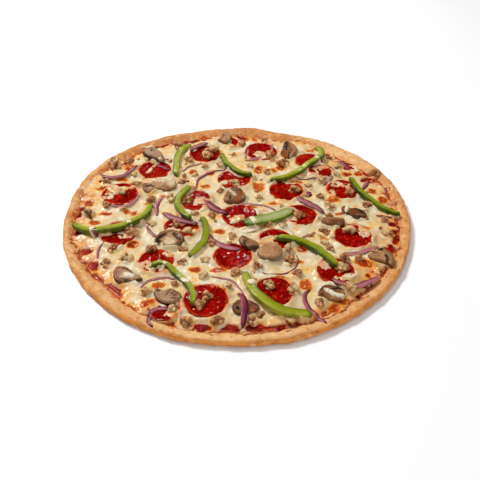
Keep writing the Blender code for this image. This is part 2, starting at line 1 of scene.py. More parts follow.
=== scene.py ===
"""The look of a baked thin crust pizza, laid over its solids.

Places and sizes are in millimetres in the part's frame. What the solids already say, such as the crust's
edge and what each topping rests on, is read from them. The lists below repeat the part's own places.
"""

import math
import random

import bmesh
import bpy
import numpy as np
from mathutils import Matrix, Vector
from mathutils.geometry import interpolate_bezier


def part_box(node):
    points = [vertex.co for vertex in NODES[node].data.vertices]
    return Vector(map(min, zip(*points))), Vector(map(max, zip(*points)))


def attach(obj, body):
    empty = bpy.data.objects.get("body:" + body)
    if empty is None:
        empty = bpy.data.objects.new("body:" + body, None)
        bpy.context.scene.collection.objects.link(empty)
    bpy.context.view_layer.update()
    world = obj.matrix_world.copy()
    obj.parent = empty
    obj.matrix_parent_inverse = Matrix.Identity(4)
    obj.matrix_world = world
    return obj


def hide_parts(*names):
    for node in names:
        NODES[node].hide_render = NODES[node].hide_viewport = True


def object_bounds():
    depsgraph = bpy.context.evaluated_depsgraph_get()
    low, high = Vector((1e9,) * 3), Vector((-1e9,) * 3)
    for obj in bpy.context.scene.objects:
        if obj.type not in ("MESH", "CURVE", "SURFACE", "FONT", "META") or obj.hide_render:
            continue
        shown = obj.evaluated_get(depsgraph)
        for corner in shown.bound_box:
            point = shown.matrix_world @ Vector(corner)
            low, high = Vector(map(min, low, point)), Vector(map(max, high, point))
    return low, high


MM = 0.001
FLOOR = 3.2
SAUCE_LEVEL = 4.5
CHEESE_DEPTH = 2.4
THIN = 1.1  # depth of the cheese at its border
SUNK = 0.7  # how far the cheese lies below the sauce where there is none
GRID = 1.0  # spacing of the grid of heights
HALF = 188  # the grid's half width
MAP_RADIUS = 190
ROUND = 160  # radius at which noise that runs round the border is read
CRUMB_REACH = 156  # how far from the centre the smallest crumbs fell

# Mushroom slices: x, y, then the outline about that place
MUSHROOMS = (
    (-102, 102, (
        (1, 13), (6, 9.5), (10, 5), (13, 2.5), (15, -2.5), (18, -9.5), (16, -12.5), (11, -12.5),
        (7, -11), (2, -8.5), (-3, -6.5), (-8, -1.5), (-10, 1.5), (-9, 6), (-4, 11),
    )),
    (-86, 46, (
        (-19, 1), (-15, 2.5), (-10, 2.5), (-7, 6.5), (-4, 10.5), (4, 14), (13, 13), (18, 7), (19, -1),
        (17, -8), (11, -13.5), (5, -11.5), (0, -8), (-5, -10.5), (-7, -14.5), (-13, -15.5), (-17, -11.5),
        (-19, -4),
    )),
    (-17, 143, (
        (2, 9), (7, 8), (9, 2.5), (9, -3.5), (8, -9), (1, -10), (-6, -8.5), (-8, -6), (-6, -3),
        (-3, -1.5), (-2, 3.5),
    )),
    (62, 113, (
        (-5, 14), (0, 14.5), (6, 10), (10, 4), (9, -4), (4, -10), (2, -14), (-2, -14), (-6, -12.5),
        (-10, -6.5), (-11, -2), (-6, 0.5), (-6, 6), (-7, 10),
    )),
    (-3, 23, (
        (-5, 12), (0, 13), (6, 11), (9, 8), (11, 3.5), (13, -1.5), (12, -7), (8, -10), (4, -12.5),
        (-2, -13.5), (-8, -12), (-11, -9.5), (-12, -3.5), (-10, 2), (-7, 7),
    )),
    (123, -6, (
        (-10, 12.5), (-7, 9), (-4, 6.5), (1, 7.5), (6, 5.5), (10, 1.5), (12, -4), (10, -7), (4, -10),
        (-1, -12), (-5, -8), (-8, -1), (-13, 2.5), (-14, 9),
    )),
    (97, -26, (
        (-12, 5), (0, 5.5), (11, 4.5), (12.5, 1), (11, -4), (7, -5.5), (-1, -5), (-8, -4), (-12, 0),
    )),
    (-65, -50, (
        (-15, -7), (-14, 0), (-11, 7), (-6, 10), (2, 11), (8, 9), (12, 4), (15, -3), (14, -8), (9, -7),
        (7, -12), (1, -14.5), (-5, -12.5), (-7, -6.5), (-10, -7),
    )),
    (12, -58, (
        (-10, 5), (-7, 8.5), (-2, 6), (3, 2.5), (9, -1), (10, -5.5), (7, -9), (2, -9.5), (-3, -8.5),
        (-8, -4), (-10, 1.5),
    )),
    (32, -70, (
        (-2, 12), (4, 12), (9, 8), (12, 2.5), (12, -4), (9, -9), (3, -11.5), (-4, -11.5), (-10, -9.5),
        (-13, -5), (-12, 0.5), (-8, 7),
    )),
    (136, -76, (
        (-2, 10), (2, 12), (7, 10), (11, 5), (13, -1.5), (12, -9), (9, -13.5), (6, -12.5), (5, -8.5),
        (2, -8.5), (-3, -5), (-9, -4), (-12, 0.5), (-12, 3), (-6, 6), (-3, 7),
    )),
    (84, -124, (
        (-12, 1), (-10, 6), (-5, 10), (2, 9), (8, 7), (12, 3), (11, -2), (11, -6), (6, -9), (-1, -9.5),
        (-6, -7), (-10, -6.5), (-13, -4),
    )),
    (-99, -101, (
        (-12, 11), (-7, 12), (-1, 10), (3, 6), (7, 1.5), (13, -1.5), (15, -6), (11, -9), (6, -5.5),
        (1, -7), (-5, -11.5), (-10, -8.5), (-13, -2), (-14, 5.5),
    )),
    (-60, -131, (
        (-13, 6), (-11, 10), (-7, 8.5), (-3, 6.5), (2, 10), (7, 7), (12, 4), (13, -1), (11, -6),
        (5, -8.5), (-3, -7.5), (-8, -4), (-11, 0),
    )),
    (8, -141, (
        (-11, 4), (-8, 8), (0, 9), (6, 7), (12, 2.5), (12, -2.5), (7, -8), (1, -9.5), (-5, -8.5),
        (-10, -6.5), (-12, -1),
    )),
    (-154, -9, (
        (-6, 4), (-3, 5.5), (3, 5), (5, 2.5), (2.5, 0.5), (6, -6), (3, -6.5), (-1.5, 0.5), (-4.5, 2),
    )),
)
MUSHROOM_THICK = 3.6

# What shows on each slice: its colour, how round its edge is, then strokes of (colour, half width,
# strength, lift, places)
# The dark and black strokes are gills and folds: partly their own colour, partly painted shade under the
# tilted caps and in the folds.
MARKS = (
    ("grey", 1.8, (
        ("dark", 3.0, 1.0, 0, ((-9, 0), (-4, -5.5), (2, -8.5), (8, -11.5))),
        ("black", 1.0, 1.0, -0.5, ((1, 6.5), (1, 4))), ("tan", 3, 0.6, 0, ((9, -2), (13, -11))),
        ("umber", 1.6, 0.8, 0, ((14, -3), (17, -11))), ("cream", 2.4, 0.7, 0.4, ((12, -9), (14, -12))),
    )),
    ("tan", 1.8, (
        ("brown", 4, 0.9, 0, ((-17, 0), (-15, -11))),
        ("black", 1.8, 1.0, -0.6, ((-13, -6), (-9, -3.5), (-6, -6))),
        ("umber", 1.0, 0.7, 0, ((-14, -13), (-8, -12))), ("brown", 3.5, 0.8, 0, ((6, -7), (11, -10))),
        ("umber", 0.8, 0.7, -0.3, ((3, -5), (7, -10))), ("umber", 0.7, 0.6, -0.3, ((9, -5), (11, -11))),
        ("cream", 5.5, 1.0, 0.9, ((-2, 8), (5, 7), (12, 6), (15, -1))),
        ("white", 3.0, 0.8, 0.4, ((4, 10), (12, 8))),
    )),
    ("tan", 1.6, (
        ("brown", 4, 0.9, 0, ((-4, -2), (-5, -7))), ("dark", 1.8, 0.9, -0.4, ((-1, 4), (0, 1))),
        ("umber", 1.5, 0.8, 0, ((3, -4), (5, -7))), ("grey", 2.5, 0.6, 0, ((4, 7), (6, 3))),
    )),
    ("brown", 1.5, (
        ("dark", 3.2, 0.9, 0, ((-3, 12), (-4, 5))),
        ("tan", 3.0, 0.8, 0.2, ((4, 11), (7, 4), (6, -4), (2, -11))),
        ("rust", 3.2, 0.8, 0, ((-6, -5), (-5, -10))), ("black", 1.5, 1.0, -0.5, ((-2, 0.5), (-3, 3))),
        ("black", 1.3, 1.0, -0.5, ((0, -5), (-1, -12))), ("black", 1.2, 0.8, 0, ((-10, -3), (-9, -5))),
    )),
    ("brown", 1.8, (
        ("tan", 3.2, 0.8, 0.2, ((-9, 5), (-11, -2), (-10, -8))),
        ("rust", 3.6, 0.9, 0, ((7, 3), (6, -2), (4, -8))),
        ("umber", 2.2, 0.7, 0, ((-2, 11), (3, 8))), ("black", 1.2, 1.0, -0.5, ((-3, -8), (-4, -3))),
        ("dark", 1.0, 0.9, -0.4, ((3, 4.5), (8, 5.5))), ("umber", 1.6, 0.8, 0, ((-6, -11), (1, -11))),
        ("cream", 2.0, 1.0, 1.0, ((-6, 8), (1, -2.5))),
    )),
    ("umber", 1.6, (
        ("brown", 2.0, 0.9, 0, ((-11, 11), (-13, 4))), ("cream", 1.5, 0.9, 0, ((-7, 8), (-9, 1))),
        ("rust", 3.0, 0.6, 0.3, ((-4, 1), (-1, -2))), ("black", 1.6, 0.9, -0.5, ((6, 0), (8, -3))),
        ("black", 1.8, 0.8, -0.4, ((-2, -8), (3, -8))), ("brown", 1.4, 0.8, 0.3, ((3, -4), (9, -7))),
        ("dark", 2.2, 0.8, 0, ((1, 5), (6, 3))),
    )),
    # Seventh slice: the tan line under its dark top edge is a painted highlight.
    ("brown", 0.9, (
        ("dark", 0.8, 0.9, -0.2, ((-11, 4.6), (0, 5), (11, 4))),
        ("tan", 0.9, 0.9, 0.1, ((-11, 2.8), (0, 3.2), (11, 2.5))),
        ("umber", 3.0, 0.7, 0, ((2, -2), (9, -2))), ("rust", 2.0, 0.4, 0, ((-8, -1), (-3, -2))),
    )),
    ("tan", 1.8, (
        ("brown", 2.6, 1.0, 0.5, ((-13, -6), (-12, 1), (-8, 6), (0, 8.5), (7, 6.5), (11, 2), (13, -5))),
        ("black", 2.3, 1.0, -0.8, ((-12, -8), (-9, -2), (-5, 2))),
        ("black", 2.1, 1.0, -0.8, ((4, 3), (7, -1), (10, -5))),
        ("black", 0.8, 0.8, 0, ((13, 0), (14, -6))), ("cream", 5.5, 1.0, 0.3, ((0, -8), (1, -13))),
    )),
    ("brown", 1.6, (
        ("grey", 2.5, 0.8, 0, ((-8, 3), (-6, 0))), ("dark", 2.0, 0.9, -0.4, ((-4, -1), (-3, -8))),
        ("black", 1.5, 0.9, -0.3, ((2, -8), (6, -8))), ("tan", 2.5, 0.5, 0.2, ((2, 1), (8, -3))),
    )),
    ("tan", 2.6, (
        ("rust", 3.5, 0.3, 0, ((5, 4), (7, -4))), ("cream", 0.7, 0.4, 0, ((10, 5), (12, -1), (9, -7))),
        ("umber", 0.8, 0.6, 0, ((-2, -11), (0, -9))),
    )),
    ("tan", 1.7, (
        ("umber", 0.7, 0.7, -0.3, ((-9, 2), (-3, 3.5), (2, 2))),
        ("umber", 0.6, 0.6, -0.3, ((-8, -1), (-1, 0))),
        ("brown", 3.0, 0.9, 0.4, ((2, 11), (8, 7), (11, 0), (11, -6), (8, -12))),
        ("cream", 0.8, 0.7, 0.2, ((12.5, 2), (12.5, -7))),
        ("dark", 2.0, 1.0, -0.7, ((5, 0), (6, -5), (4, -9))),
        ("black", 2.2, 1.0, -0.3, ((-1, 9), (2, 8))),
    )),
    ("brown", 1.6, (
        ("umber", 2.6, 0.7, 0.2, ((-11, 1), (-8, 6), (-3, 9), (4, 9))),
        ("black", 1.9, 1.0, -0.4, ((2, 4), (7, 4.5))),
        ("dark", 1.6, 0.9, -0.3, ((-9, -3), (-8, -6))), ("tan", 2, 0.6, 0, ((-3, -8), (5, -8))),
        ("white", 2.6, 1.0, 1.2, ((-4, 2.5), (2, -3), (9, -6))),
    )),
    ("tan", 1.8, (
        ("brown", 4.0, 0.9, 0.3, ((-11, 9), (-12, 0), (-8, -8))),
        ("umber", 1.7, 0.9, -0.4, ((-5, 8), (1, 6), (4, 2))),
        ("dark", 1.6, 0.9, -0.3, ((-3, -6), (1, -8))), ("black", 1.5, 0.9, -0.3, ((9, -7.5), (13, -7))),
        ("umber", 1.8, 0.8, 0, ((-9, -8), (-4, -11))), ("white", 3.6, 1.0, 1.3, ((-1, -1.5), (4, -2.5))),
    )),
    ("grey", 1.9, (
        ("brown", 4.2, 0.7, 0, ((3, 4), (8, 2))), ("umber", 0.7, 0.8, -0.3, ((0, 1), (3, 7))),
        ("umber", 0.7, 0.8, -0.3, ((3, 0), (7, 5))), ("umber", 0.7, 0.8, -0.3, ((6, -1), (10, 3))),
        ("black", 2.0, 1.0, -0.3, ((-10, 8.5), (-7, 6))), ("umber", 1.0, 0.9, -0.3, ((4, -4), (10, -4))),
    )),
    ("brown", 1.7, (
        ("umber", 3.2, 0.8, 0, ((-9, 4), (-10, -3))), ("black", 1.6, 1.0, -0.4, ((-6, -2), (-6, -4))),
        ("dark", 0.8, 0.9, -0.3, ((4, 4), (11, 0))), ("rust", 2.6, 0.7, 0, ((5, -3), (8, -6))),
        ("dark", 0.7, 0.8, -0.3, ((2, 2), (7, -1))),
    )),
    ("olive", 1.2, (("dark", 1.3, 1.0, 0, ((-0.5, 1), (5, -6))),)),
)
# Display values of the colours that MARKS names
MUSHROOM_TONES = {
    "grey": (166, 126, 92), "tan": (176, 126, 82), "brown": (132, 82, 46), "rust": (144, 72, 22),
    "umber": (94, 54, 30), "dark": (60, 32, 18), "black": (32, 19, 12), "cream": (208, 186, 148),
    "white": (232, 220, 190), "olive": (160, 114, 58),
}

# Pepper strips: width, height, side of the dark skin (-1 left of the route, 1 right), look from 0 dark
# to 1 light, route
PEPPERS = (
    (7.5, 5.5, 1, 0.75, ((-57, 131), (-65, 123), (-69, 112), (-71, 96), (-70, 78), (-69, 64))),
    (6.5, 5.0, 1, 0.35, ((-19, 107), (-16, 97), (-10, 82), (-1, 69), (8, 63), (17, 62))),
    (8.0, 5.0, -1, 0.7, (
        (94, 124), (100, 119), (100, 106), (92, 89), (81, 78), (68, 66), (54, 55), (37, 50),
    )),
    (6.5, 5.0, 1, 0.25, ((127, 55), (129, 41), (134, 27), (141, 17), (155, -1), (169, -9))),
    (7.0, 5.2, 1, 0.4, ((-50, 37), (-57, 27), (-62, 15), (-62, 3), (-58, -8), (-52, -18), (-46, -23))),
    (8.0, 6.0, 1, 0.8, (
        (-165, -25), (-158, -33), (-149, -38), (-138, -40), (-118, -36), (-109, -30), (-100, -20),
        (-93, -7), (-90, 8),
    )),
    (7.0, 5.0, 1, 0.3, ((-36, -21), (-32, -29), (-30, -39), (-31, -50), (-36, -62), (-45, -75))),
    (12.5, 4.0, -1, 1.0, ((7, -24), (16, -24), (26, -22), (36, -18), (46, -13), (57, -5))),
    (8.5, 6.0, 1, 0.45, ((39, -51), (49, -53), (60, -56), (69, -60), (76, -67), (84, -79), (93, -93))),
    (6.0, 5.0, 1, 0.55, (
        (-78, -92), (-71, -88), (-65, -90), (-58, -96), (-48, -108), (-40, -121), (-37, -132), (-38, -141),
    )),
    (8.0, 6.0, -1, 0.6, ((8, -98), (9, -107), (13, -119), (20, -133), (30, -143), (42, -148), (64, -150))),
)

# Red onion slivers: width, height, purple from 0 to 1, route. The first NODE_ONIONS are nodes too.
ONIONS = (
    (4.0, 2.6, 0.6, ((-155, 66), (-147, 62), (-138, 61), (-129, 65), (-122, 73), (-115, 82))),
    (5.5, 2.6, 0.6, ((-57, 116), (-48, 125), (-42, 130), (-36, 133))),
    (5.5, 2.4, 0.4, ((-77, -5), (-70, -13), (-62, -19), (-51, -24), (-39, -27))),
    (6.0, 2.6, 0.9, ((-32, 12), (-28, 5), (-21, -3), (-10, -11))),
    (6.0, 2.4, 0.5, ((64, 21), (70, 12), (78, 5), (91, -5))),
    (5.0, 2.6, 0.5, ((86, -108), (92, -114), (100, -117), (110, -114), (120, -109), (129, -102))),
    (4.5, 2.8, 1.0, ((1, -124), (5, -131), (7, -140), (7, -150), (5, -164))),
    (2.0, 1.6, 0.4, ((-63, 76), (-58, 84), (-49, 89), (-40, 90))),
    (2.8, 1.8, 0.35, ((-11, 78), (-22, 76), (-34, 71), (-42, 62), (-45, 51), (-44, 39))),
    (4.0, 2.0, 0.3, ((-75, 25), (-82, 19), (-85, 8), (-84, -3), (-82, -10))),
    (5.5, 2.0, 0.3, ((-28, -43), (-23, -49), (-17, -56), (-7, -62), (4, -64))),
    (4.0, 2.0, 0.5, ((148, 61), (144, 49), (137, 37))),
    (4.5, 2.0, 0.25, ((102, -68), (110, -70), (120, -67), (130, -62), (138, -57))),
    (1.6, 1.5, 0.5, ((57, -70), (58, -78), (55, -88), (48, -95), (40, -98), (31, -99), (23, -94))),
    (2.0, 1.5, 0.4, ((-24, -100), (-13, -103), (-4, -107), (2, -115), (7, -125))),
    (2.4, 1.6, 0.5, ((-86, -116), (-81, -108), (-74, -104), (-65, -102), (-55, -104))),
    (2.5, 1.6, 0.2, ((-129, -52), (-133, -61), (-133, -71), (-131, -75))),
    (3.5, 2.0, 0.7, ((66, -117), (61, -124), (60, -131), (62, -139), (66, -146), (71, -152), (76, -158))),
    (5.0, 2.6, 1.0, ((78, 35), (78, 29), (77, 24))),
    (3.5, 1.8, 0.3, ((-143, 13), (-134, 8), (-125, 7), (-116, 9), (-109, 18), (-105, 26))),
    (4.0, 2.0, 0.3, ((9, 99), (19, 99), (29, 104))),
    (2.6, 1.8, 0.15, ((-1, 4), (6, 9), (19, 11), (31, 8), (41, 1))),
    (1.6, 1.6, 0.9, ((65, 59), (74, 58), (82, 57), (92, 54))),
    (3.0, 2.0, 0.7, ((-69, -162), (-74, -156), (-73, -150), (-69, -144), (-62, -143), (-54, -144))),
    (3.0, 2.0, 0.6, ((-92, -25), (-87, -35), (-80, -43), (-73, -47))),
    (4.0, 2.0, 1.0, ((-141, -40), (-137, -46))),
    (5.0, 2.4, 0.9, ((119, 100), (126, 95), (131, 85))),
    (3.0, 2.0, 0.3, ((64, -46), (72, -41), (79, -35))),
    (2.5, 2.0, 0.1, ((10, 102), (12, 111), (13, 123))),
    (2.5, 2.0, 0.15, ((39, 104), (41, 118), (43, 140))),
    (2.0, 2.0, 0.1, ((108, 63), (103, 53), (95, 45))),
    (5.0, 2.0, 0.1, ((-72, 123), (-79, 132))),
    (3.0, 1.8, 0.9, ((-94, 87), (-87, 82), (-77, 75))),
    (3.0, 1.8, 0.7, ((144, -8), (153, -9), (161, -11))),
    (1.8, 1.6, 0.9, ((99, 89), (108, 85), (113, 78))),
)

NODE_ONIONS = 7

# Sausage crumbles: x, y, size
SAUSAGE = (
    (-145, 97, 13), (-128, 99, 12), (-141, 84, 14), (-116, 68, 9), (-73, 131, 13), (-82, 98, 10),
    (-31, 119, 13), (-34, 103, 11), (-56, 97, 10), (-19, 88, 12), (-6, 111, 7), (33, 147, 10),
    (5, 134, 10), (-38, 84, 9), (35, 75, 9), (38, 106, 12), (14, 86, 8), (-60, 66, 8), (53, 91, 13),
    (-48, 66, 8), (117, 86, 10), (157, 72, 13), (109, 104, 8), (113, 67, 9), (-147, 55, 10),
    (-112, 47, 12), (-125, 28, 10), (-92, 18, 10), (-137, 7, 7), (-120, 2, 8), (-86, -24, 9),
    (-105, -38, 13), (-119, -62, 10), (-72, 20, 12), (-61, 52, 9), (-54, 15, 11), (-43, -6, 9),
    (-25, -10, 10), (-18, 36, 8), (-1, 48, 10), (23, 22, 9), (63, 33, 12), (-59, -26, 11),
    (-50, -37, 10), (-5, -45, 10), (-25, -54, 10), (46, -27, 9), (33, -28, 8), (64, -11, 11),
    (78, 46, 9), (94, 53, 10), (89, 25, 10), (123, 30, 12), (97, 6, 12), (95, -10, 8), (138, 8, 12),
    (112, -36, 12), (88, -36, 12), (152, -16, 10), (151, -39, 11), (86, -53, 10), (90, -62, 9),
    (72, -42, 7), (-105, -77, 12), (-122, -84, 11), (-82, -66, 11), (-80, -121, 10), (-52, -82, 10),
    (-52, -64, 10), (-30, -79, 8), (-31, -100, 9), (-1, -97, 11), (19, -88, 10), (50, -65, 9),
    (50, -80, 11), (55, -98, 10), (-8, -115, 10), (-26, -130, 10), (-30, -139, 11), (29, -115, 11),
    (50, -120, 11), (-43, -157, 13), (-16, -155, 12), (-54, -143, 9), (13, -155, 9), (21, -149, 8),
    (46, -154, 10), (-55, -111, 7), (101, -80, 10), (97, -92, 11), (134, -86, 10), (116, -76, 9),
    (73, -134, 11), (101, -119, 11),
)
FINE_LUMPS = 36  # how many of the largest have a finer surface
SMALL_CRUMBS = 26

# Cheese that runs over a topping: x, y, half lengths, turn, thickness, pinkness where it is thin
VEILS = (
    (-132, 34, 13, 8, 10, 0.7, 0.7), (-139, 24, 6, 6, 0, 0.5, 0.8),
    (-118, -36, 18, 6, 8, 0.6, 0.8), (-108, -41, 10, 8, 0, 0.5, 0.9), (-34, 14, 12, 12, 0, 0.5, 0.8),
    (-60, 20, 4, 9, 0, 0.5, 0.7), (-64, -36, 8, 10, 0, 0.7, 0.4), (-42, -37, 6, 4, 20, 0.5, 0.7),
    (-25, 66, 8, 8, 0, 0.6, 0.9), (-8, 50, 10, 6, 0, 0.4, 0.8),
    (0, -17, 10, 6, 20, 0.5, 0.8), (10, -22, 9, 5, 0, 0.7, 0.2), (54, -10, 9, 13, 0, 0.7, 0.3),
    (112, 46, 13, 6, -10, 0.4, 0.9), (126, 40, 6, 8, 0, 0.5, 0.7), (127, -36, 8, 10, 20, 0.5, 0.8),
    (28, 108, 9, 10, 0, 0.6, 0.5), (95, 76, 12, 5, 10, 0.5, 0.8), (88, 64, 6, 6, 0, 0.5, 0.8),
    (30, -52, 14, 7, 0, 0.7, 0.5), (52, -52, 8, 6, 0, 0.6, 0.5), (-86, -88, 10, 8, 30, 0.6, 0.7),
    (-64, -72, 7, 5, 0, 0.5, 0.6), (82, -86, 8, 6, -30, 0.5, 0.8), (99, -104, 10, 5, 20, 0.5, 0.6),
    (-72, -136, 9, 8, 0, 0.7, 0.5), (-52, -150, 8, 5, 0, 0.5, 0.6), (-12, 130, 12, 6, 0, 0.8, 0.1),
    (-38, 114, 5, 7, 0, 0.5, 0.9), (128, 4, 8, 4, 20, 0.8, 0.0), (-115, 40, 10, 5, 10, 0.5, 0.8),
    (-36, 107, 5, 9, 0, 0.5, 0.8), (4, 40, 8, 4, 0, 0.5, 0.7), (-140, 42, 8, 5, 0, 0.6, 0.5),
    (60, 50, 9, 4, 0, 0.3, 0.8), (-46, -116, 5, 5, 0, 0.4, 0.8), (104, 30, 4, 6, 0, 0.4, 0.7),
    (-98, 79, 14, 2.4, 65, 0.45, 0.9),
)

# Strands and drops of cheese that lie over other toppings: width, height, route
STRANDS = (
    (5.5, 1.3, ((-145, -31), (-143, -38), (-141, -46))), (4.5, 1.1, ((-111, -22), (-108, -29), (-105, -36))),
    (4.0, 1.1, ((90, 97), (93, 89), (97, 81))), (5.0, 1.2, ((12, -15), (16, -23), (22, -34))),
    (7.0, 2.0, ((10, -114), (14, -117), (18, -120))), (4.0, 1.0, ((-71, -96), (-67, -91), (-63, -86))),
    (4.5, 1.1, ((-51, -108), (-46, -112), (-41, -115))), (3.5, 1.0, ((118, 6), (115, 1), (113, -6))),
    (3.5, 1.2, ((-119, 131), (-112, 133), (-104, 134))),
    (6.0, 1.6, ((6, -38), (12, -34), (20, -31))), (3.0, 1.0, ((96, -104), (104, -104), (110, -100))),
)

# Browned or oily spots in the cheese: x, y, half lengths, colour from 0 pale orange to 1 dark red
SPOTS = (
    (-51, 75, 4, 5, 0.5), (25, 80, 6, 9, 0.9), (50, 84, 4, 5, 0.6), (-35, 44, 5, 4, 0.4),
    (24, 45, 6, 9, 0.15), (39, 13, 6, 4, 0.6), (-17, -35, 6, 4.5, 0.6), (-39, -91, 6, 4, 0.6),
    (-18, -93, 8, 3, 0.7), (103, 19, 9, 4, 0.35), (-137, -5, 6, 4, 0.6), (-107, -4, 5, 3, 0.3),
    (-150, 42, 7, 5, 0.9), (-158, 14, 5, 6, 1.0), (-146, -20, 5, 4, 0.4), (64, -63, 6, 4, 0.9),
    (119, -82, 8, 6, 0.6), (62, -111, 5, 7, 0.3), (-77, -135, 6, 5, 0.6), (-101, -55, 6, 5, 0.9),
    (148, 35, 6, 5, 0.8), (157, 20, 6, 6, 0.5), (124, 70, 6, 6, 0.8), (86, -46, 4, 3, 0.5),
    (140, 72, 6, 5, 0.6), (163, 4, 4, 4, 0.8), (-114, -2, 4, 3, 0.5), (-8, 155, 5, 6, 0.5),
    (10, 152, 5, 7, 0.6), (22, 150, 4, 6, 0.4), (-62, 144, 6, 4, 0.9), (-126, 112, 5, 5, 0.3),
    (-120, 117, 6, 3, 0.9), (-132, 92, 4, 4, 0.8), (-123, 84, 8, 6, 0.6), (84, 146, 3, 5, 0.4),
    (88, 122, 6, 5, 0.3), (60, -80, 4, 3, 0.1), (-30, 72, 5, 4, 0.2), (43, 78, 4, 4, 0.3),
    (-130, 58, 6, 4, 0.1), (-70, -112, 5, 4, 0.15), (-92, -140, 7, 5, 0.4), (-108, -124, 8, 6, 0.5),
    (84, -140, 6, 5, 0.5), (93, -131, 6, 4, 0.4), (148, -70, 3, 6, 0.8), (156, -46, 3, 8, 0.8),
    (-56, -138, 4, 3, 0.3), (122, -98, 4, 4, 0.5), (-94, 12, 4, 3, 0.2), (-80, 26, 3, 3, 0.7),
    (70, 52, 5, 3, 0.2), (16, 4, 5, 3, 0.3), (-143, 32, 4, 4, 0.3), (130, -30, 4, 3, 0.4),
    (106, -5, 4, 2, 0.3), (-12, -120, 4, 3, 0.2), (40, -104, 5, 3, 0.15), (8, 70, 5, 3, 0.3),
)

# Where the sauce shows through gaps in the cheese: x, y, half lengths
BARE = (
    (-40, -162, 6, 4), (-28, -160, 9, 4), (-4, -163, 8, 4), (14, -162, 9, 4), (36, -162, 12, 4),
    (52, -157, 8, 4), (115, -119, 11, 6), (105, -132, 9, 4), (142, -90, 4, 7), (151, -62, 3, 8),
    (-112, -117, 9, 6), (-128, -103, 6, 4), (-139, -86, 4, 8), (-149, -66, 4, 8), (-166, -6, 4, 5),
    (-167, 5, 4, 5), (-160, -36, 4, 5), (-60, 147, 7, 4), (6, 159, 6, 5), (-117, 130, 7, 3),
    (-95, 134, 8, 3), (-62, -157, 12, 4), (-88, -146, 4, 3), (159, -20, 3, 5), (66, -152, 6, 3),
    (-75, 155, 4, 3), (131, 86, 4, 5), (145, 60, 4, 6), (108, 114, 3, 5), (160, -34, 3, 6),
    (78, -146, 5, 3), (-150, 60, 4, 4), (-54, 152, 4, 6), (150, 74, 5, 4),
)

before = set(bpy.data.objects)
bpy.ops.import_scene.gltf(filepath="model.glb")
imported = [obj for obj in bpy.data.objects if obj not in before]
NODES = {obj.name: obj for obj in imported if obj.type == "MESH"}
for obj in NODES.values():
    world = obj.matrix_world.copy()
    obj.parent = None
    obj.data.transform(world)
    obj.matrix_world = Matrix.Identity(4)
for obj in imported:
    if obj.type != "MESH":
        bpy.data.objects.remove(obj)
CAD_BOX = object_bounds()


# Noise, colour and small helpers


def srgb(red, green, blue):
    """Linear colour from 0-255 display values."""
    c = np.array((red, green, blue), float) / 255
    return np.where(c <= 0.04045, c / 12.92, ((c + 0.055) / 1.055) ** 2.4)


def cell(ix, iy, iz, seed):
    """A random value from -1 to 1 for each corner of the noise's grid."""
    h = (ix * 374761393 + iy * 668265263 + iz * 1442695041 + seed * 144665137) & 0xFFFFFFFF
    h = ((h ^ (h >> 13)) * 1274126177) & 0xFFFFFFFF
    return ((h ^ (h >> 16)) & 0xFFFF) / 32767.5 - 1.0


def lumps(x, y, size, seed=0, z=0.0):
    """Smooth noise from -1 to 1 whose lumps are about this size. Each use has its own seed."""
    x, y, z = np.broadcast_arrays(
        np.asarray(x, float) / size, np.asarray(y, float) / size, np.asarray(z, float) / size
    )
    ix, iy, iz = (np.floor(v).astype(np.int64) for v in (x, y, z))
    fx, fy, fz = x - ix, y - iy, z - iz
    fx, fy, fz = (v * v * (3 - 2 * v) for v in (fx, fy, fz))
    total = np.zeros(x.shape)
    for dx in (0, 1):
        for dy in (0, 1):
            for dz in (0, 1):
                weight = (fx if dx else 1 - fx) * (fy if dy else 1 - fy) * (fz if dz else 1 - fz)
                total += weight * cell(ix + dx, iy + dy, iz + dz, seed)
    return np.clip(total * 1.5, -1, 1)


def rough(x, y, size, seed=0, z=0.0):
    """Three sizes of noise together."""
    return (
        0.55 * lumps(x, y, size, seed, z)
        + 0.3 * lumps(x, y, size * 0.47, seed + 11, z)
        + 0.15 * lumps(x, y, size * 0.21, seed + 23, z)
    )


def step(low, high, value):
    """From 0 at low to 1 at high, with soft ends."""
    t = np.clip((value - low) / (high - low), 0, 1)
    return t * t * (3 - 2 * t)


def mix(colour, other, share):
    """A colour with this share of another."""
    share = np.asarray(share, float)[..., None]
    return colour * (1 - share) + np.asarray(other) * share


def layered(tone, *layers):
    """A colour with others mixed over it in turn, as pairs of a colour and its share."""
    for other, share in layers:
        tone = mix(tone, other, share)
    return tone


def turned(x, y, degrees):
    """Places turned about the origin."""
    c, s = math.cos(math.radians(degrees)), math.sin(math.radians(degrees))
    return x * c - y * s, x * s + y * c


def around(count):
    """Angles of this many places round a circle."""
    return np.linspace(0, 2 * np.pi, count, endpoint=False)


def read(items, key, kind=np.float32, width=1):
    """A value of every point, corner or face of a mesh."""
    values = np.zeros(len(items) * width, kind)
    items.foreach_get(key, values)
    return values.reshape(-1, width) if width > 1 else values


def node_points(name):
    """The points of one of the solids."""
    return read(NODES[name].data.vertices, "co", width=3).astype(float) / MM


def placed(name, data):
    """A new object in the scene."""
    obj = bpy.data.objects.new(name, data)
    bpy.context.scene.collection.objects.link(obj)
    return obj


def add_piece(name, points, faces, tint, slot, replaced, material):
    """A mesh piece in the part's frame, with a colour for each point. It keeps inside the solids' box."""
    mesh = bpy.data.meshes.new(name)
    points = np.clip(np.asarray(points, float) * MM, CAD_BOX[0], CAD_BOX[1])
    mesh.from_pydata(points.tolist(), [], faces)
    layer = mesh.color_attributes.new("tint", "FLOAT_COLOR", "POINT")
    rgba = np.ones((len(points), 4), np.float32)
    rgba[:, :3] = np.clip(tint, 0, 1)
    layer.data.foreach_set("color", rgba.ravel())
    mesh.shade_smooth()
    obj = placed(name, mesh)
    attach(obj, "root")
    if replaced:
        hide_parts(*replaced)
    mesh.materials.append(material)
    return obj


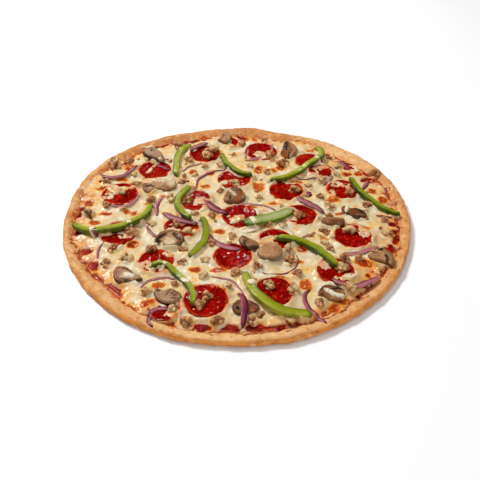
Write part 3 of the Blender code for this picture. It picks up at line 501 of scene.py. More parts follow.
def flat_map(obj, radius):
    """A plain map from above, for a piece that lies flat. What looks down goes small into a corner."""
    mesh = obj.data
    layer = mesh.uv_layers.new(name="OFBake")
    points = read(mesh.vertices, "co", width=3)
    uv = points[read(mesh.loops, "vertex_index", np.int32)][:, :2] / (2 * radius * MM) + 0.5
    faces_down = read(mesh.polygons, "normal", width=3)[:, 2] < 0
    uv[np.repeat(faces_down, read(mesh.polygons, "loop_total", np.int32))] *= 0.1
    layer.data.foreach_set("uv", uv.astype(np.float32).ravel())


def border_of(quads):
    """The directed edges that only one face has."""
    edges = np.vstack((quads[:, (0, 1)], quads[:, (1, 2)], quads[:, (2, 3)], quads[:, (3, 0)]))
    pairs = {(a, b) for a, b in edges.tolist()}
    return sorted((a, b) for a, b in pairs if (b, a) not in pairs)


def strip_faces(rows, columns):
    """Quads over a grid of points, rows long, whose columns join up."""
    r, c = np.meshgrid(np.arange(rows - 1), np.arange(columns), indexing="ij")
    n = (c + 1) % columns
    corners = (r * columns + c, r * columns + n, (r + 1) * columns + n, (r + 1) * columns + c)
    return np.stack(corners, -1).reshape(-1, 4)


def square_faces(squares, columns):
    """(faces, the grid's points that they use) for the chosen squares of a grid this many points wide."""
    j, i = np.nonzero(squares)
    corners = (j * columns + i, j * columns + i + 1, (j + 1) * columns + i + 1, (j + 1) * columns + i)
    used, packed = np.unique(np.stack(corners, -1), return_inverse=True)
    return packed.reshape(-1, 4), used


def whole_squares(keep):
    """The squares of a grid whose four corners are all kept."""
    return keep[:-1, :-1] & keep[1:, :-1] & keep[:-1, 1:] & keep[1:, 1:]


def ring_faces(rings, count, flip=False):
    """Faces over closed rings, with a fan at each end to the two points that follow them.

    They are flipped for rings that start in the middle of the upper side.
    """
    faces = strip_faces(rings, count).tolist()
    first = rings * count
    last = first - count
    for i in range(count):
        j = (i + 1) % count
        faces.append((first, j, i))
        faces.append((first + 1, last + i, last + j))
    return [face[::-1] for face in faces] if flip else faces


def join(parts):
    """One (points, faces, tints) of several."""
    starts = np.cumsum([0] + [len(points) for points, _, _ in parts]).tolist()
    faces = [tuple(v + start for v in face) for start, part in zip(starts, parts) for face in part[1]]
    return np.vstack([part[0] for part in parts]), faces, np.vstack([part[2] for part in parts])


def evened(values, reach):
    """The running mean of values over this many places each way."""
    count = 2 * reach + 1
    return np.convolve(np.pad(values, reach, mode="edge"), np.ones(count) / count, mode="valid")


# Materials


def setting(made, **inputs):
    """A node with these inputs set, whose names have _ for a space."""
    for key, value in inputs.items():
        made.inputs[key.replace("_", " ")].default_value = value
    return made


def node(tree, kind, **inputs):
    """A new node with these inputs set."""
    return setting(tree.nodes.new(kind), **inputs)


def spread_noise(tree, place, size, detail, low, high, to_low, to_high):
    """Noise with lumps of this size in mm, stretched to a range."""
    noise = node(tree, "ShaderNodeTexNoise", Scale=1000 / (size * 2.2), Detail=detail, Roughness=0.6)
    spread = node(tree, "ShaderNodeMapRange", From_Min=low, From_Max=high, To_Min=to_low, To_Max=to_high)
    tree.links.new(place, noise.inputs["Vector"])
    tree.links.new(noise.outputs["Fac"], spread.inputs["Value"])
    return spread.outputs["Result"]


def new_material(name):
    """(material, its tree, its shader)."""
    material = bpy.data.materials.new(name)
    material.use_nodes = True
    return material, material.node_tree, material.node_tree.nodes["Principled BSDF"]


def food(name, grain, bumps, gloss, vary=0.1, specks=(), shine=0.3, soft=0.0, soft_radius=(1.0, 0.5, 0.3),
         oil=0.0):
    """A food surface: its points' colour varied by noise of this grain in mm, with specks and bumps.

    A bump is (size, depth), and a speck is (size, how sparse, colour, strength).
    """
    material, tree, shader = new_material(name)
    link = tree.links.new
    place = tree.nodes.new("ShaderNodeTexCoord").outputs["Object"]
    tint = tree.nodes.new("ShaderNodeAttribute")
    tint.attribute_name = "tint"
    shade = tree.nodes.new("ShaderNodeVectorMath")
    shade.operation = "SCALE"
    link(tint.outputs["Color"], shade.inputs[0])
    link(spread_noise(tree, place, grain, 4.0, 0.3, 0.7, 1 - vary * 1.5, 1 + vary), shade.inputs["Scale"])
    colour = shade.outputs["Vector"]
    for size, share, speck, strength in specks:
        blend = tree.nodes.new("ShaderNodeMix")
        blend.data_type = "RGBA"
        blend.inputs["B"].default_value = (*srgb(*speck), 1)
        link(spread_noise(tree, place, size, 2.0, share, share + 0.07, 0, strength), blend.inputs["Factor"])
        link(colour, blend.inputs["A"])
        colour = blend.outputs["Result"]
    link(colour, shader.inputs["Base Color"])
    link(spread_noise(tree, place, grain * 2.4, 3.0, 0.35, 0.65, *gloss), shader.inputs["Roughness"])
    normal = None
    for size, depth in bumps:
        bump = node(tree, "ShaderNodeBump", Strength=1.0, Distance=depth * MM)
        link(spread_noise(tree, place, size, 3.0, 0.0, 1.0, 0.0, 1.0), bump.inputs["Height"])
        if normal:
            link(normal, bump.inputs["Normal"])
        normal = bump.outputs["Normal"]
    link(normal, shader.inputs["Normal"])
    setting(shader, Specular_IOR_Level=shine)
    if oil:
        setting(shader, Coat_Weight=oil, Coat_Roughness=0.09)
    if soft:
        setting(shader, Subsurface_Weight=soft, Subsurface_Radius=soft_radius, Subsurface_Scale=1.5 * MM)
    return material


DOUGH = food("baked_crust", 1.8, ((4.5, 0.7), (1.6, 0.35)), (0.55, 0.8), 0.09,
             ((1.2, 0.62, (186, 112, 54), 0.4), (3.2, 0.6, (242, 202, 150), 0.4)), shine=0.14)
SAUCE = food("baked_sauce", 2.0, ((2.6, 0.7), (0.9, 0.2)), (0.15, 0.4), 0.25, shine=0.08)
CHEESE = food("baked_cheese", 2.4, ((4.2, 0.4), (1.6, 0.12)), (0.15, 0.42), 0.06,
              ((1.7, 0.57, (236, 172, 74), 0.6), (3.0, 0.62, (196, 172, 126), 0.35)), shine=0.12,
              soft=0.1, soft_radius=(1.0, 0.7, 0.4), oil=0.09)
MEAT = food("sliced_pepperoni", 1.4, ((2.0, 0.4), (0.8, 0.15)), (0.2, 0.45), 0.2,
            ((2.4, 0.62, (92, 4, 3), 0.5), (1.2, 0.6, (218, 92, 44), 0.55)), shine=0.0, oil=0.14)
SAUSAGE_LOOK = food("crumbled_sausage", 1.2, ((1.6, 0.6), (0.6, 0.2)), (0.3, 0.6), 0.18,
                    ((0.9, 0.64, (98, 62, 32), 0.45), (1.3, 0.64, (212, 182, 138), 0.45)), shine=0.18)
FUNGUS = food("baked_mushroom", 1.4, ((2.2, 0.3), (0.7, 0.1)), (0.14, 0.42), 0.14, shine=0.16)
GREEN = food("baked_pepper", 2.0, ((3.0, 0.2), (0.9, 0.06)), (0.16, 0.4), 0.08, shine=0.25)
PURPLE = food("baked_onion", 1.4, ((1.6, 0.2), (0.6, 0.06)), (0.18, 0.42), 0.12, shine=0.25,
              soft=0.1, soft_radius=(1.0, 0.6, 0.7))


# The crust's outline, read from its solid

STATIONS = 84  # places round the rim at which the crust's solid is drawn
TURN = np.arange(720) / 2  # every half degree


def crust_outline():
    """Distance from the centre to the edge, the rim's width and its height at each station."""
    points = node_points("crust")
    radius = np.hypot(points[:, 0], points[:, 1])
    degrees = np.degrees(np.arctan2(points[:, 1], points[:, 0])) % 360
    place = np.round(degrees / (360 / STATIONS)).astype(int) % STATIONS
    edge, width, crown = np.zeros((3, STATIONS))
    for k in range(STATIONS):
        mine = (place == k) & (radius > 100)
        edge[k] = radius[mine].max()
        floor = mine & (np.abs(points[:, 2] - FLOOR) < 0.06) & (radius < edge[k] - 6)
        width[k] = edge[k] - radius[floor].max() - 2
        crown[k] = points[mine, 2].max() + 0.2
    return edge, width, crown


def smooth_round(values):
    """Values at even stations around the rim, drawn softly through as one for each half degree."""
    fine = np.interp(TURN, np.arange(STATIONS) * 360 / STATIONS, values, period=360)
    weight = np.hanning(21)
    return np.convolve(np.concatenate((fine[-10:], fine, fine[:10])), weight / weight.sum(), mode="valid")


RIM = [smooth_round(values) for values in crust_outline()]


def rim_at(degrees):
    """(distance to the edge, width, height) of the rim in these directions."""
    return [np.interp(degrees, TURN, values, period=360) for values in RIM]


SHOULDER = 0.24  # share of the rim's width over which it rounds up to its crown
SQUARE = 0.78  # 1 is a round shoulder, and less is squarer
SIDE = 3.0  # height of the crust's side
FOOT = 3.5  # from the edge to where the side meets the flat underside


def rim_shape(u, crown):
    """Height of the rim's top at this share of its width in from the edge."""
    rise = np.clip(1 - (1 - np.clip(u, 0, SHOULDER) / SHOULDER) ** (2 / SQUARE), 0, 1) ** (SQUARE / 2)
    fall = 1 - step(0.42, 1.15, u)
    return np.where(u < SHOULDER, SIDE + (crown - SIDE) * rise, FLOOR + (crown - FLOOR) * fall)


def crust_top(x, y):
    """Height of the crust's upper side."""
    edge, width, crown = rim_at(np.degrees(np.arctan2(y, x)) % 360)
    u = (edge - np.hypot(x, y)) / width
    return np.where(u < 0, 0, rim_shape(u, crown))


AXIS = np.arange(-HALF, HALF + GRID / 2, GRID)
GX, GY = np.meshgrid(AXIS, AXIS)
GR = np.hypot(GX, GY)
GA = np.degrees(np.arctan2(GY, GX)) % 360
INNER = rim_at(GA)[0] - rim_at(GA)[1]
GROUND = np.maximum(crust_top(GX, GY), SAUCE_LEVEL)


def window(x0, x1, y0, y1, pad=9.0):
    """The part of the grid between these places, and a little beyond."""
    i0, i1 = (int(np.clip((v + HALF) / GRID, 0, len(AXIS))) for v in (x0 - pad, x1 + pad + 1))
    j0, j1 = (int(np.clip((v + HALF) / GRID, 0, len(AXIS))) for v in (y0 - pad, y1 + pad + 1))
    return np.s_[j0:j1, i0:i1]


def disc(x, y, radius, pad=9.0):
    """(window, distance out from the edge) of a disc."""
    here = window(x - radius, x + radius, y - radius, y + radius, pad)
    return here, np.hypot(GX[here] - x, GY[here] - y) - radius


def sample(field, x, y):
    """A field's value between its grid's points."""
    fx = np.clip((np.asarray(x, float) + HALF) / GRID, 0, len(AXIS) - 1.001)
    fy = np.clip((np.asarray(y, float) + HALF) / GRID, 0, len(AXIS) - 1.001)
    i, j = fx.astype(int), fy.astype(int)
    u, v = fx - i, fy - j
    return (field[j, i] * (1 - u) + field[j, i + 1] * u) * (1 - v) + (
        field[j + 1, i] * (1 - u) + field[j + 1, i + 1] * u
    ) * v


def ellipse(x, y, rx, ry, turn, wobble=0.25, seed=5):
    """(window, share of the way out) of a blob with an uneven edge."""
    reach = max(rx, ry)
    here = window(x - reach, x + reach, y - reach, y + reach, 6)
    dx, dy = turned(GX[here] - x, GY[here] - y, -turn)
    share = np.hypot(dx / rx, dy / ry)
    return here, share + wobble * rough(GX[here], GY[here], 5.0, seed)


# Routes


def smooth_route(points, spacing):
    """A curve through the points, as places about this far apart."""
    spots = [Vector((px, py, 0)) for px, py in points]
    first, last = spots[0] * 2 - spots[1], spots[-1] * 2 - spots[-2]
    padded = [first, *spots, last]
    fine = []
    for before, a, b, after in zip(padded, padded[1:], padded[2:], padded[3:]):
        fine += interpolate_bezier(a, a + (b - before) / 6, b - (after - a) / 6, b, 24)[:-1]
    fine.append(spots[-1])
    fine = np.array([(p.x, p.y) for p in fine])
    along = np.concatenate(([0], np.cumsum(np.hypot(*np.diff(fine, axis=0).T))))
    count = max(6, int(along[-1] / spacing))
    want = np.linspace(0, along[-1], count + 1)
    return np.stack((np.interp(want, along, fine[:, 0]), np.interp(want, along, fine[:, 1])), -1)


def to_segment(x, y, a, b):
    """(distance to the line from a to b, share of the way along it) for each place."""
    dx, dy = b[0] - a[0], b[1] - a[1]
    share = np.clip(((x - a[0]) * dx + (y - a[1]) * dy) / max(dx * dx + dy * dy, 1e-9), 0, 1)
    return np.hypot(x - a[0] - share * dx, y - a[1] - share * dy), share


def window_of(points, pad):
    """The window around some points."""
    (x0, y0), (x1, y1) = points.min(0), points.max(0)
    return window(x0, x1, y0, y1, pad)


def line_field(route, heights, pad=9.0):
    """(window, distance to the route, height of the nearest place on it)."""
    here = window_of(route, pad)
    away = np.full(GX[here].shape, 1e9)
    level = np.zeros(away.shape)
    for a, b, ha, hb in zip(route, route[1:], heights, heights[1:]):
        gap, share = to_segment(GX[here], GY[here], a, b)
        closer = gap < away
        away = np.where(closer, gap, away)
        level = np.where(closer, ha + (hb - ha) * share, level)
    return here, away, level


def seat_along(name, route, reach, stiff=3):
    """Height of a node's underside along a route, evened out over this many places each way."""
    points = node_points(name)
    low = []
    for spot in route:
        gap = np.hypot(points[:, 0] - spot[0], points[:, 1] - spot[1])
        close = points[gap < max(reach, np.sort(gap)[5] + 0.1)]
        low.append(close[:, 2].min())
    return evened(evened(low, stiff), stiff)


# The melted cheese, as heights over the grid, with what it runs up against

CHEESE_Z = np.zeros(GX.shape)
TOP = np.full(GX.shape, -1.0)  # height of the piece that lies there, or -1
FLAT = np.zeros(GX.shape, bool)  # where that piece is a pepperoni slice
PINK = np.zeros(GX.shape)  # where thin cheese lets a slice shine through


def surface_at(x, y):
    """Height of the cheese or of the piece that lies over it."""
    return np.maximum(sample(CHEESE_Z, x, y), sample(TOP, x, y))


def border_radius():
    """Distance from the centre to the cheese's ragged border."""
    x, y = np.cos(np.radians(GA)), np.sin(np.radians(GA))
    return (
        INNER
        + 2.4
        + 2.8 * lumps(x * ROUND, y * ROUND, 21, 31)
        + 2.6 * lumps(x * ROUND, y * ROUND, 8, 32)
        + 1.6 * lumps(GX, GY, 3.4, 33)
    )


BORDER = border_radius()
SPREAD = step(-0.6, 3.6, BORDER - GR)


def lay_cheese():
    """The sheet of cheese, before anything lies on it."""
    inner = step(2, 24, BORDER - GR)
    depth = -SUNK + (SUNK + THIN + (CHEESE_DEPTH - THIN) * inner) * SPREAD
    for x, y, rx, ry in BARE:
        here, share = ellipse(x, y, rx, ry, math.degrees(math.atan2(y, x)) + 90, 0.5, 9)
        depth[here] = np.minimum(depth[here], -SUNK + 2.6 * step(0.75, 1.7, share))
    relief = (
        0.5 * lumps(GX, GY, 15, 1)
        + 0.5 * lumps(GX, GY, 8, 2)
        + (0.18 + 0.55 * (1 - inner)) * lumps(GX, GY, 5, 3)
        + (0.04 + 0.16 * (1 - inner)) * lumps(GX, GY, 2.6, 4)
    )
    CHEESE_Z[:] = GROUND + depth + relief * step(-0.6, 2.0, depth)


def bank(here, away, top, rise, reach, seed):
    """Cheese rises up the side of a piece by this share, and lies below the piece itself."""
    ground = CHEESE_Z[here]
    uneven = 0.4 * lumps(GX[here], GY[here], 7, seed) + 0.2 * lumps(GX[here], GY[here], 3.2, seed + 50)
    level = ground + (top - ground) * np.clip(rise + uneven, 0.05, 1.35)
    lift = np.exp(-np.clip(away, 0, None) ** 2 / (2 * reach * reach)) * step(0, 9, BORDER[here] - GR[here])
    outside = ground + np.maximum(level - ground, 0) * lift
    sunk = np.minimum(ground, top - 1.2)
    inside = sunk + (np.maximum(level, ground) - sunk) * step(-3.2, 0.0, away)
    CHEESE_Z[here] = np.where(away > 0, outside, inside)
    FLAT[here] &= away > 0.2
    TOP[here] = np.where(away < 0.2, np.maximum(TOP[here], top), TOP[here])


# Pepperoni


def pepperoni_places():
    """(name, x, y, radius, height of the underside) of each slice."""
    places = []
    for k in range(23):
        name = f"pepperoni_{k + 1:02d}"
        low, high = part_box(name)
        x, y = (low.x + high.x) / 2 / MM, (low.y + high.y) / 2 / MM
        places.append((name, x, y, (high.x - low.x) / 2 / MM, low.z / MM))
    return places


PEPPERONI_THICK = 1.8
SLICES = pepperoni_places()

# Slices that are orange on one side, counted from 0: the way that side faces
LIT = {3: (-0.6, 0.8), 14: (0.7, 0.7), 13: (0.8, -0.4)}


def slice_top(k, x, y):
    """Height of a slice's upper side, which cups a little and follows the lumps under it."""
    _, cx, cy, radius, low = SLICES[k]
    share = np.hypot(x - cx, y - cy) / radius
    degrees = np.degrees(np.arctan2(y - cy, x - cx))
    curl = 0.75 * share ** 3 * (0.6 + 0.4 * np.cos(np.radians(2 * degrees + k * 70)))
    tilt = 0.25 * lumps(x, y, 17, 40 + k)
    return low + PEPPERONI_THICK + curl + tilt + 0.14 * lumps(x, y, 3.1, 60 + k)


def lay_slices():
    """Cheese banks up round the pepperoni slices."""
    for k, (_, cx, cy, radius, _) in enumerate(SLICES):
        here, away = disc(cx, cy, radius)
        bank(here, away, slice_top(k, GX[here], GY[here]), 0.9, 2.6, 100 + k)
        FLAT[here] |= away < 0.2


def make_slice(k):
    """A slice with a ragged, rusty edge and a side that slopes in below it."""
    name, cx, cy, radius, low = SLICES[k]
    t = around(96)
    ragged = radius * (1 - 0.012 + 0.012 * lumps(np.cos(t) * 20, np.sin(t) * 20, 7, 300 + k))
    rows, tints = [], []
    deep, bright, dried = srgb(126, 2, 1), srgb(164, 7, 2), srgb(90, 2, 1)
    rust, orange, side = srgb(210, 62, 16), srgb(192, 48, 14), srgb(190, 62, 20)
    for share in (0.02, *np.linspace(0.08, 0.93, 17), 0.965, 0.99):
        x, y = cx + ragged * share * np.cos(t), cy + ragged * share * np.sin(t)
        z = slice_top(k, x, y) - 0.5 * step(0.93, 1.0, share)
        rows.append(np.stack((x, y, z), -1))
        tone = layered(
            deep,
            (bright, step(-0.3, 0.7, rough(x, y, 6, 80 + k))),
            (dried, 0.5 * step(0.2, 0.8, rough(x, y, 4, 180 + k))),
            (rust, 0.75 * (step(0.86, 0.97, share) * step(-0.5, 0.6, lumps(x, y, 6, 7 + k)))),
        )
        if k in LIT:
            sunny = ((x - cx) * LIT[k][0] + (y - cy) * LIT[k][1]) / radius
            tone = mix(tone, orange, 0.7 * step(0.3, 0.85, sunny))
        tints.append(tone)
    for share, drop in ((1.0, 0.8), (0.99, 1.6), (0.9, 2.3)):
        x, y = cx + ragged * share * np.cos(t), cy + ragged * share * np.sin(t)
        z = slice_top(k, x, y) - drop
        rows.append(np.stack((x, y, np.maximum(z, low)), -1))
        tints.append(mix(np.tile(deep, (len(t), 1)), side, 0.5))
    points = np.vstack((*rows, [cx, cy, slice_top(k, np.array(cx), np.array(cy))], [cx, cy, low]))
    tints = np.vstack((*tints, deep, deep))
    faces = ring_faces(len(rows), len(t), flip=True)
    add_piece(f"slice_{k + 1:02d}", points, faces, tints, "pepperoni_meat", [name], MEAT)


# Mushrooms

TONES = {name: srgb(*display) for name, display in MUSHROOM_TONES.items()}


def smooth_outline(points, spacing=0.5):
    """The outline with its corners eased, as points about this far apart."""
    spots = np.array(points, float)
    for _ in range(3):
        after = np.roll(spots, -1, axis=0)
        spots = np.stack((spots * 0.75 + after * 0.25, spots * 0.25 + after * 0.75), 1).reshape(-1, 2)
    closed = np.vstack((spots, spots[:1]))
    along = np.concatenate(([0], np.cumsum(np.hypot(*np.diff(closed, axis=0).T))))
    want = np.linspace(0, along[-1], int(along[-1] / spacing), endpoint=False)
    return np.stack((np.interp(want, along, closed[:, 0]), np.interp(want, along, closed[:, 1])), -1)


def outline_field(points, x, y):
    """(distance inward from an outline, nearest point on it) for each place."""
    best = np.full(x.shape, 1e9)
    near_x, near_y = np.zeros(x.shape), np.zeros(x.shape)
    inside = np.zeros(x.shape, bool)
    for a, b in zip(points, np.roll(points, -1, axis=0)):
        gap, share = to_segment(x, y, a, b)
        closer = gap < best
        best = np.where(closer, gap, best)
        near_x = np.where(closer, a[0] + share * (b[0] - a[0]), near_x)
        near_y = np.where(closer, a[1] + share * (b[1] - a[1]), near_y)
        if a[1] != b[1]:
            cross = x < a[0] + (y - a[1]) * (b[0] - a[0]) / (b[1] - a[1])
            inside ^= ((a[1] > y) != (b[1] > y)) & cross
    return np.where(inside, best, -best), near_x, near_y


def stroke_distance(points, x, y):
    """Distance to a stroke through these points."""
    return np.min([to_segment(x, y, a, b)[0] for a, b in zip(points, points[1:])], axis=0)


def mushroom_plane(name):
    """The slice's middle height as (level, slope in x, slope in y)."""
    points = node_points(name)
    matrix = np.stack((np.ones(len(points)), points[:, 0], points[:, 1]), -1)
    return np.linalg.lstsq(matrix, points[:, 2], rcond=None)[0]


def lay_mushrooms():
    """Cheese banks up round the mushroom slices."""
    for k, (x, y, outline) in enumerate(MUSHROOMS):
        ring = smooth_outline(outline, 1.5) + (x, y)
        here = window_of(ring, 9.0)
        inward = outline_field(ring, GX[here], GY[here])[0]
        a, b, c = mushroom_plane(f"mushroom_{k + 1:02d}")
        top = a + b * GX[here] + c * GY[here] + MUSHROOM_THICK / 2
        bank(here, -inward, top, 0.3, 1.8, 140 + k)


def make_mushroom(k):
    """A slice as two skins that meet at its outline, marked by its strokes."""
    name = f"mushroom_{k + 1:02d}"
    cx, cy, outline = MUSHROOMS[k]
    base, edge, strokes = MARKS[k]
    ring = smooth_outline(outline)
    spacing = 0.45
    ux = np.arange(ring[:, 0].min() - 1, ring[:, 0].max() + 1, spacing)
    uy = np.arange(ring[:, 1].min() - 1, ring[:, 1].max() + 1, spacing)
    x, y = np.meshgrid(ux, uy)
    depth, near_x, near_y = outline_field(ring, x, y)
    quads, used = square_faces(whole_squares(depth > spacing * 0.35), len(ux))
    px, py, deep = x.ravel()[used].copy(), y.ravel()[used].copy(), depth.ravel()[used].copy()
    border = border_of(quads)
    at = np.array(sorted({v for pair in border for v in pair}))
    px[at], py[at], deep[at] = near_x.ravel()[used][at], near_y.ravel()[used][at], 0

    tone = layered(
        TONES[base],
        (TONES["umber"], 0.28 * step(0.0, 0.7, rough(px + 30 * k, py, 6, 520 + k))),
        (TONES["cream"], 0.22 * step(0.1, 0.8, rough(px + 30 * k, py, 5, 530 + k))),
        (TONES["umber"], 0.25 * step(0.8, 0.0, deep)),
    )
    lift = 0.3 * rough(px + 30 * k, py, 5, 540 + k) + 0.12 * lumps(px, py, 1.8, 550 + k)
    for shade, half, strength, height, points in strokes:
        away = stroke_distance(points, px, py) + 0.35 * half ** 0.5 * lumps(px, py, 2.2, 560 + k)
        cover = step(half * 1.3, half * 0.5, away)
        tone = mix(tone, TONES[shade], 0.92 * strength * cover)
        lift = lift + height * step(half * 1.2, half * 0.2, away)
    round_off = np.sqrt(np.clip(1 - (1 - np.clip(deep / edge, 0, 1)) ** 2, 0, 1))
    a, b, c = mushroom_plane(name)
    level = a + b * (cx + px) + c * (cy + py)
    half = MUSHROOM_THICK / 2
    top = level - 0.6 + (half + 0.6 + lift) * round_off
    low = level - 0.6 - (half - 0.6) * round_off
    points = np.vstack([np.stack((cx + px, cy + py, z), -1) for z in (top, low)])
    below = np.arange(len(px), 2 * len(px))
    below[at] = at
    faces = quads.tolist() + below[quads[:, ::-1]].tolist()
    # The lower skin is the upper one darkened with umber: painted shade.
    tones = np.vstack((tone, mix(tone, TONES["umber"], 0.6)))
    add_piece(f"fungus_{k + 1:02d}", points, faces, tones, "mushroom_flesh", [name], FUNGUS)


# Pepper strips and onion slivers


def ribbon(route, seats, width, height, taper, count, power, colour, seed, lean=0.0):
    """(points, faces, tints) of a closed strip with rounded ends.

    The colour is told how far along, across (sx) and up (sz) each point is, and its place.
    """
    steps = len(route)
    ahead = np.gradient(route, axis=0)
    ahead /= np.hypot(*ahead.T)[:, None]
    across = np.stack((ahead[:, 1], -ahead[:, 0]), -1)
    share = np.linspace(0, 1, steps)
    end = np.minimum(share, 1 - share) * (steps - 1) * np.hypot(*(route[1] - route[0]))
    blunt = np.sqrt(np.clip(1 - (1 - np.clip(end / (width * 0.5), 0, 1)) ** 2, 0.02, 1))
    slim = (taper + (1 - taper) * np.sin(np.pi * np.clip(share, 0, 1)) ** 0.5) * blunt
    angle = around(count)
    sx = np.sign(np.cos(angle)) * np.abs(np.cos(angle)) ** power
    sz = np.sign(np.sin(angle)) * np.abs(np.sin(angle)) ** power
    wide = slim[:, None] * width / 2 * sx
    ripple = 0.06 * width * lumps(share * 60, 0, 7, seed)[:, None]
    x = route[:, :1] + across[:, :1] * (wide + ripple)
    y = route[:, 1:] + across[:, 1:] * (wide + ripple)
    tall = height * (0.55 + 0.45 * blunt) * (0.8 + 0.2 * np.sin(np.pi * share) ** 0.5)
    z = seats[:, None] + tall[:, None] * (0.5 + 0.5 * sz) + lean * wide
    z = z + 0.12 * lumps(x, y, 3.5, seed + 1, z)
    points = np.stack((x, y, z), -1)
    tint = colour(*np.broadcast_arrays(share[:, None], sx, sz), x, y)
    points, tint = (
        np.vstack((each.reshape(-1, 3), each[0].mean(0), each[-1].mean(0))) for each in (points, tint)
    )
    return points, ring_faces(steps, count), tint


def pepper_colour(side, look, seed):
    """Dark skin on one side and light flesh on the other, partly their own colours and partly painted light
    and shade, and a look from 0 dark to 1 light.
    """
    dark, mid = srgb(56, 80, 4), srgb(124, 134, 8)
    light, pale = srgb(170, 172, 26), srgb(192, 184, 94)

    def colour(share, sx, sz, x, y):
        a = -sx * side
        return layered(
            mid,
            (light, look * step(-0.7, 0.3, a)),
            (pale, np.clip(look * 1.2 - 0.5, 0, 1) * step(0.0, 0.9, a)),
            (dark, (1.15 - 0.6 * look) * step(-0.5, -0.98, a)),
            (dark, 0.65 * step(0.1, -0.6, sz) * step(0.3, -0.7, a)),
            (light, 0.5 * step(0.1, -0.6, sz) * step(0.3, 0.9, a)),
            (mid, 0.4 * step(0.0, 0.7, rough(x, y, 4.0, seed + 3))),
            (pale, 0.3 * look * step(0.2, 0.8, rough(x, y, 6.0, seed + 4))),
            (dark, 0.75 * step(0.06, 0.0, np.minimum(share, 1 - share))),
        )

    return colour


def flesh_face(seed):
    """The strip that lies with its pale inner side up, green along both edges."""
    dark, mid, pale = srgb(66, 94, 14), srgb(134, 150, 54), srgb(172, 176, 120)

    def colour(share, sx, sz, x, y):
        return layered(
            pale,
            (mid, step(0.0, 0.7, rough(x, y, 6, seed))),
            (mid, step(0.35, 0.75, np.abs(sx))),
            (dark, step(0.7, 1.0, np.abs(sx)) * 0.9),
            (mid, step(0.25, -0.3, sz)),
            (dark, 0.8 * step(0.16, 0.04, share)),
        )

    return colour


PEPPER_ROUTES = [smooth_route(points, 1.2) for *_, points in PEPPERS]
PEPPER_SEATS = [
    seat_along(f"pepper_{k + 1:02d}", route, 7, 7) for k, route in enumerate(PEPPER_ROUTES)
]


def lay_peppers():
    """Cheese banks up along the pepper strips."""
    for k, (width, height, _, _, _) in enumerate(PEPPERS):
        here, away, level = line_field(PEPPER_ROUTES[k], PEPPER_SEATS[k])
        bank(here, away - width * 0.42, level + height, 0.25, 1.6, 160 + k)


def make_pepper(k):
    """A strip that lies skin up, or a wide one that lies inner side up."""
    width, height, side, look, _ = PEPPERS[k]
    colour = flesh_face(600) if width > 10 else pepper_colour(side, look, 600 + 7 * k)
    strip = ribbon(
        PEPPER_ROUTES[k], PEPPER_SEATS[k], width, height, 0.66, 40, 0.34, colour, 700 + k, lean=0.1 * side,
    )
    add_piece(f"green_{k + 1:02d}", *strip, "green_pepper_flesh", [f"pepper_{k + 1:02d}"], GREEN)


def onion_colour(purple, seed):
    """Bands of pink flesh, with purple skin along one edge."""
    skin, flesh, pale = srgb(90, 8, 42), srgb(144, 54, 74), srgb(206, 146, 144)

    def colour(share, sx, sz, x, y):
        band = 0.5 + 0.5 * np.sin(sx * 7 + lumps(share * 40, sx, 9, seed))
        return layered(
            flesh,
            (pale, (1 - purple) * (0.25 + 0.5 * band)),
            (pale, 0.55 * (1 - 0.6 * purple) * step(-0.1, 0.8, sx)),
            (skin, np.clip(0.45 + purple, 0, 1) * step(-0.15, -0.8, sx)),
            (skin, 0.6 * purple * step(-0.5, 0.7, rough(x, y, 6, seed + 1))),
            (skin * 0.7, (0.3 + 0.6 * purple) * step(0.12, 0.0, np.minimum(share, 1 - share))),
        )

    return colour


ONION_ROUTES = [smooth_route(points, 1.2) for _, _, _, points in ONIONS]


def onion_seats():
    """Heights along each sliver's underside: its solid's own, or what it lies on."""
    seats = []
    for k, route in enumerate(ONION_ROUTES):
        if k < NODE_ONIONS:
            seats.append(seat_along(f"onion_{k + 1:02d}", route, 5))
        else:
            seats.append(evened(surface_at(*route.T), 2) - 0.7)
    return seats


def lay_onions(seats):
    """Cheese banks up along the largest slivers."""
    for k in range(NODE_ONIONS):
        width, height = ONIONS[k][:2]
        here, away, level = line_field(ONION_ROUTES[k], seats[k])
        bank(here, away - width * 0.4, level + height * 0.8, 0.4, 1.4, 180 + k)


def make_onions(seats):
    """The largest slivers each as a piece, and the thin ones as one piece together."""
    slivers = [
        ribbon(
            ONION_ROUTES[k], seats[k], width * (1.1 + 0.07 * min(width, 4.5)), height, 0.3, 20, 0.7,
            onion_colour(purple, 800 + 5 * k), 900 + k, 0.16,
        )
        for k, (width, height, purple, _) in enumerate(ONIONS)
    ]
    for k, sliver in enumerate(slivers[:NODE_ONIONS]):
        add_piece(f"sliver_{k + 1:02d}", *sliver, "red_onion_flesh", [f"onion_{k + 1:02d}"], PURPLE)
    add_piece("thin_slivers", *join(slivers[NODE_ONIONS:]), "red_onion_flesh", [], PURPLE)


# Sausage


def sphere_points(level):
    """(points, triangles) of a ball of radius 1."""
    bm = bmesh.new()
    bmesh.ops.create_icosphere(bm, subdivisions=level, radius=1)
    points = np.array([v.co[:] for v in bm.verts])
    faces = np.array([[v.index for v in face.verts] for face in bm.faces])
    bm.free()
    return points, faces


def small_crumbs():
    """A few of the smallest crumbs, which fell between the larger ones."""
    rand = random.Random(21)
    crumbs = []
    while len(crumbs) < SMALL_CRUMBS:
        angle, radius = rand.uniform(0, 2 * math.pi), CRUMB_REACH * math.sqrt(rand.random())
        x, y = radius * math.cos(angle), radius * math.sin(angle)
        if sample(TOP, x, y) < 0:
            crumbs.append((x, y, rand.uniform(3.5, 5.5)))
    return crumbs


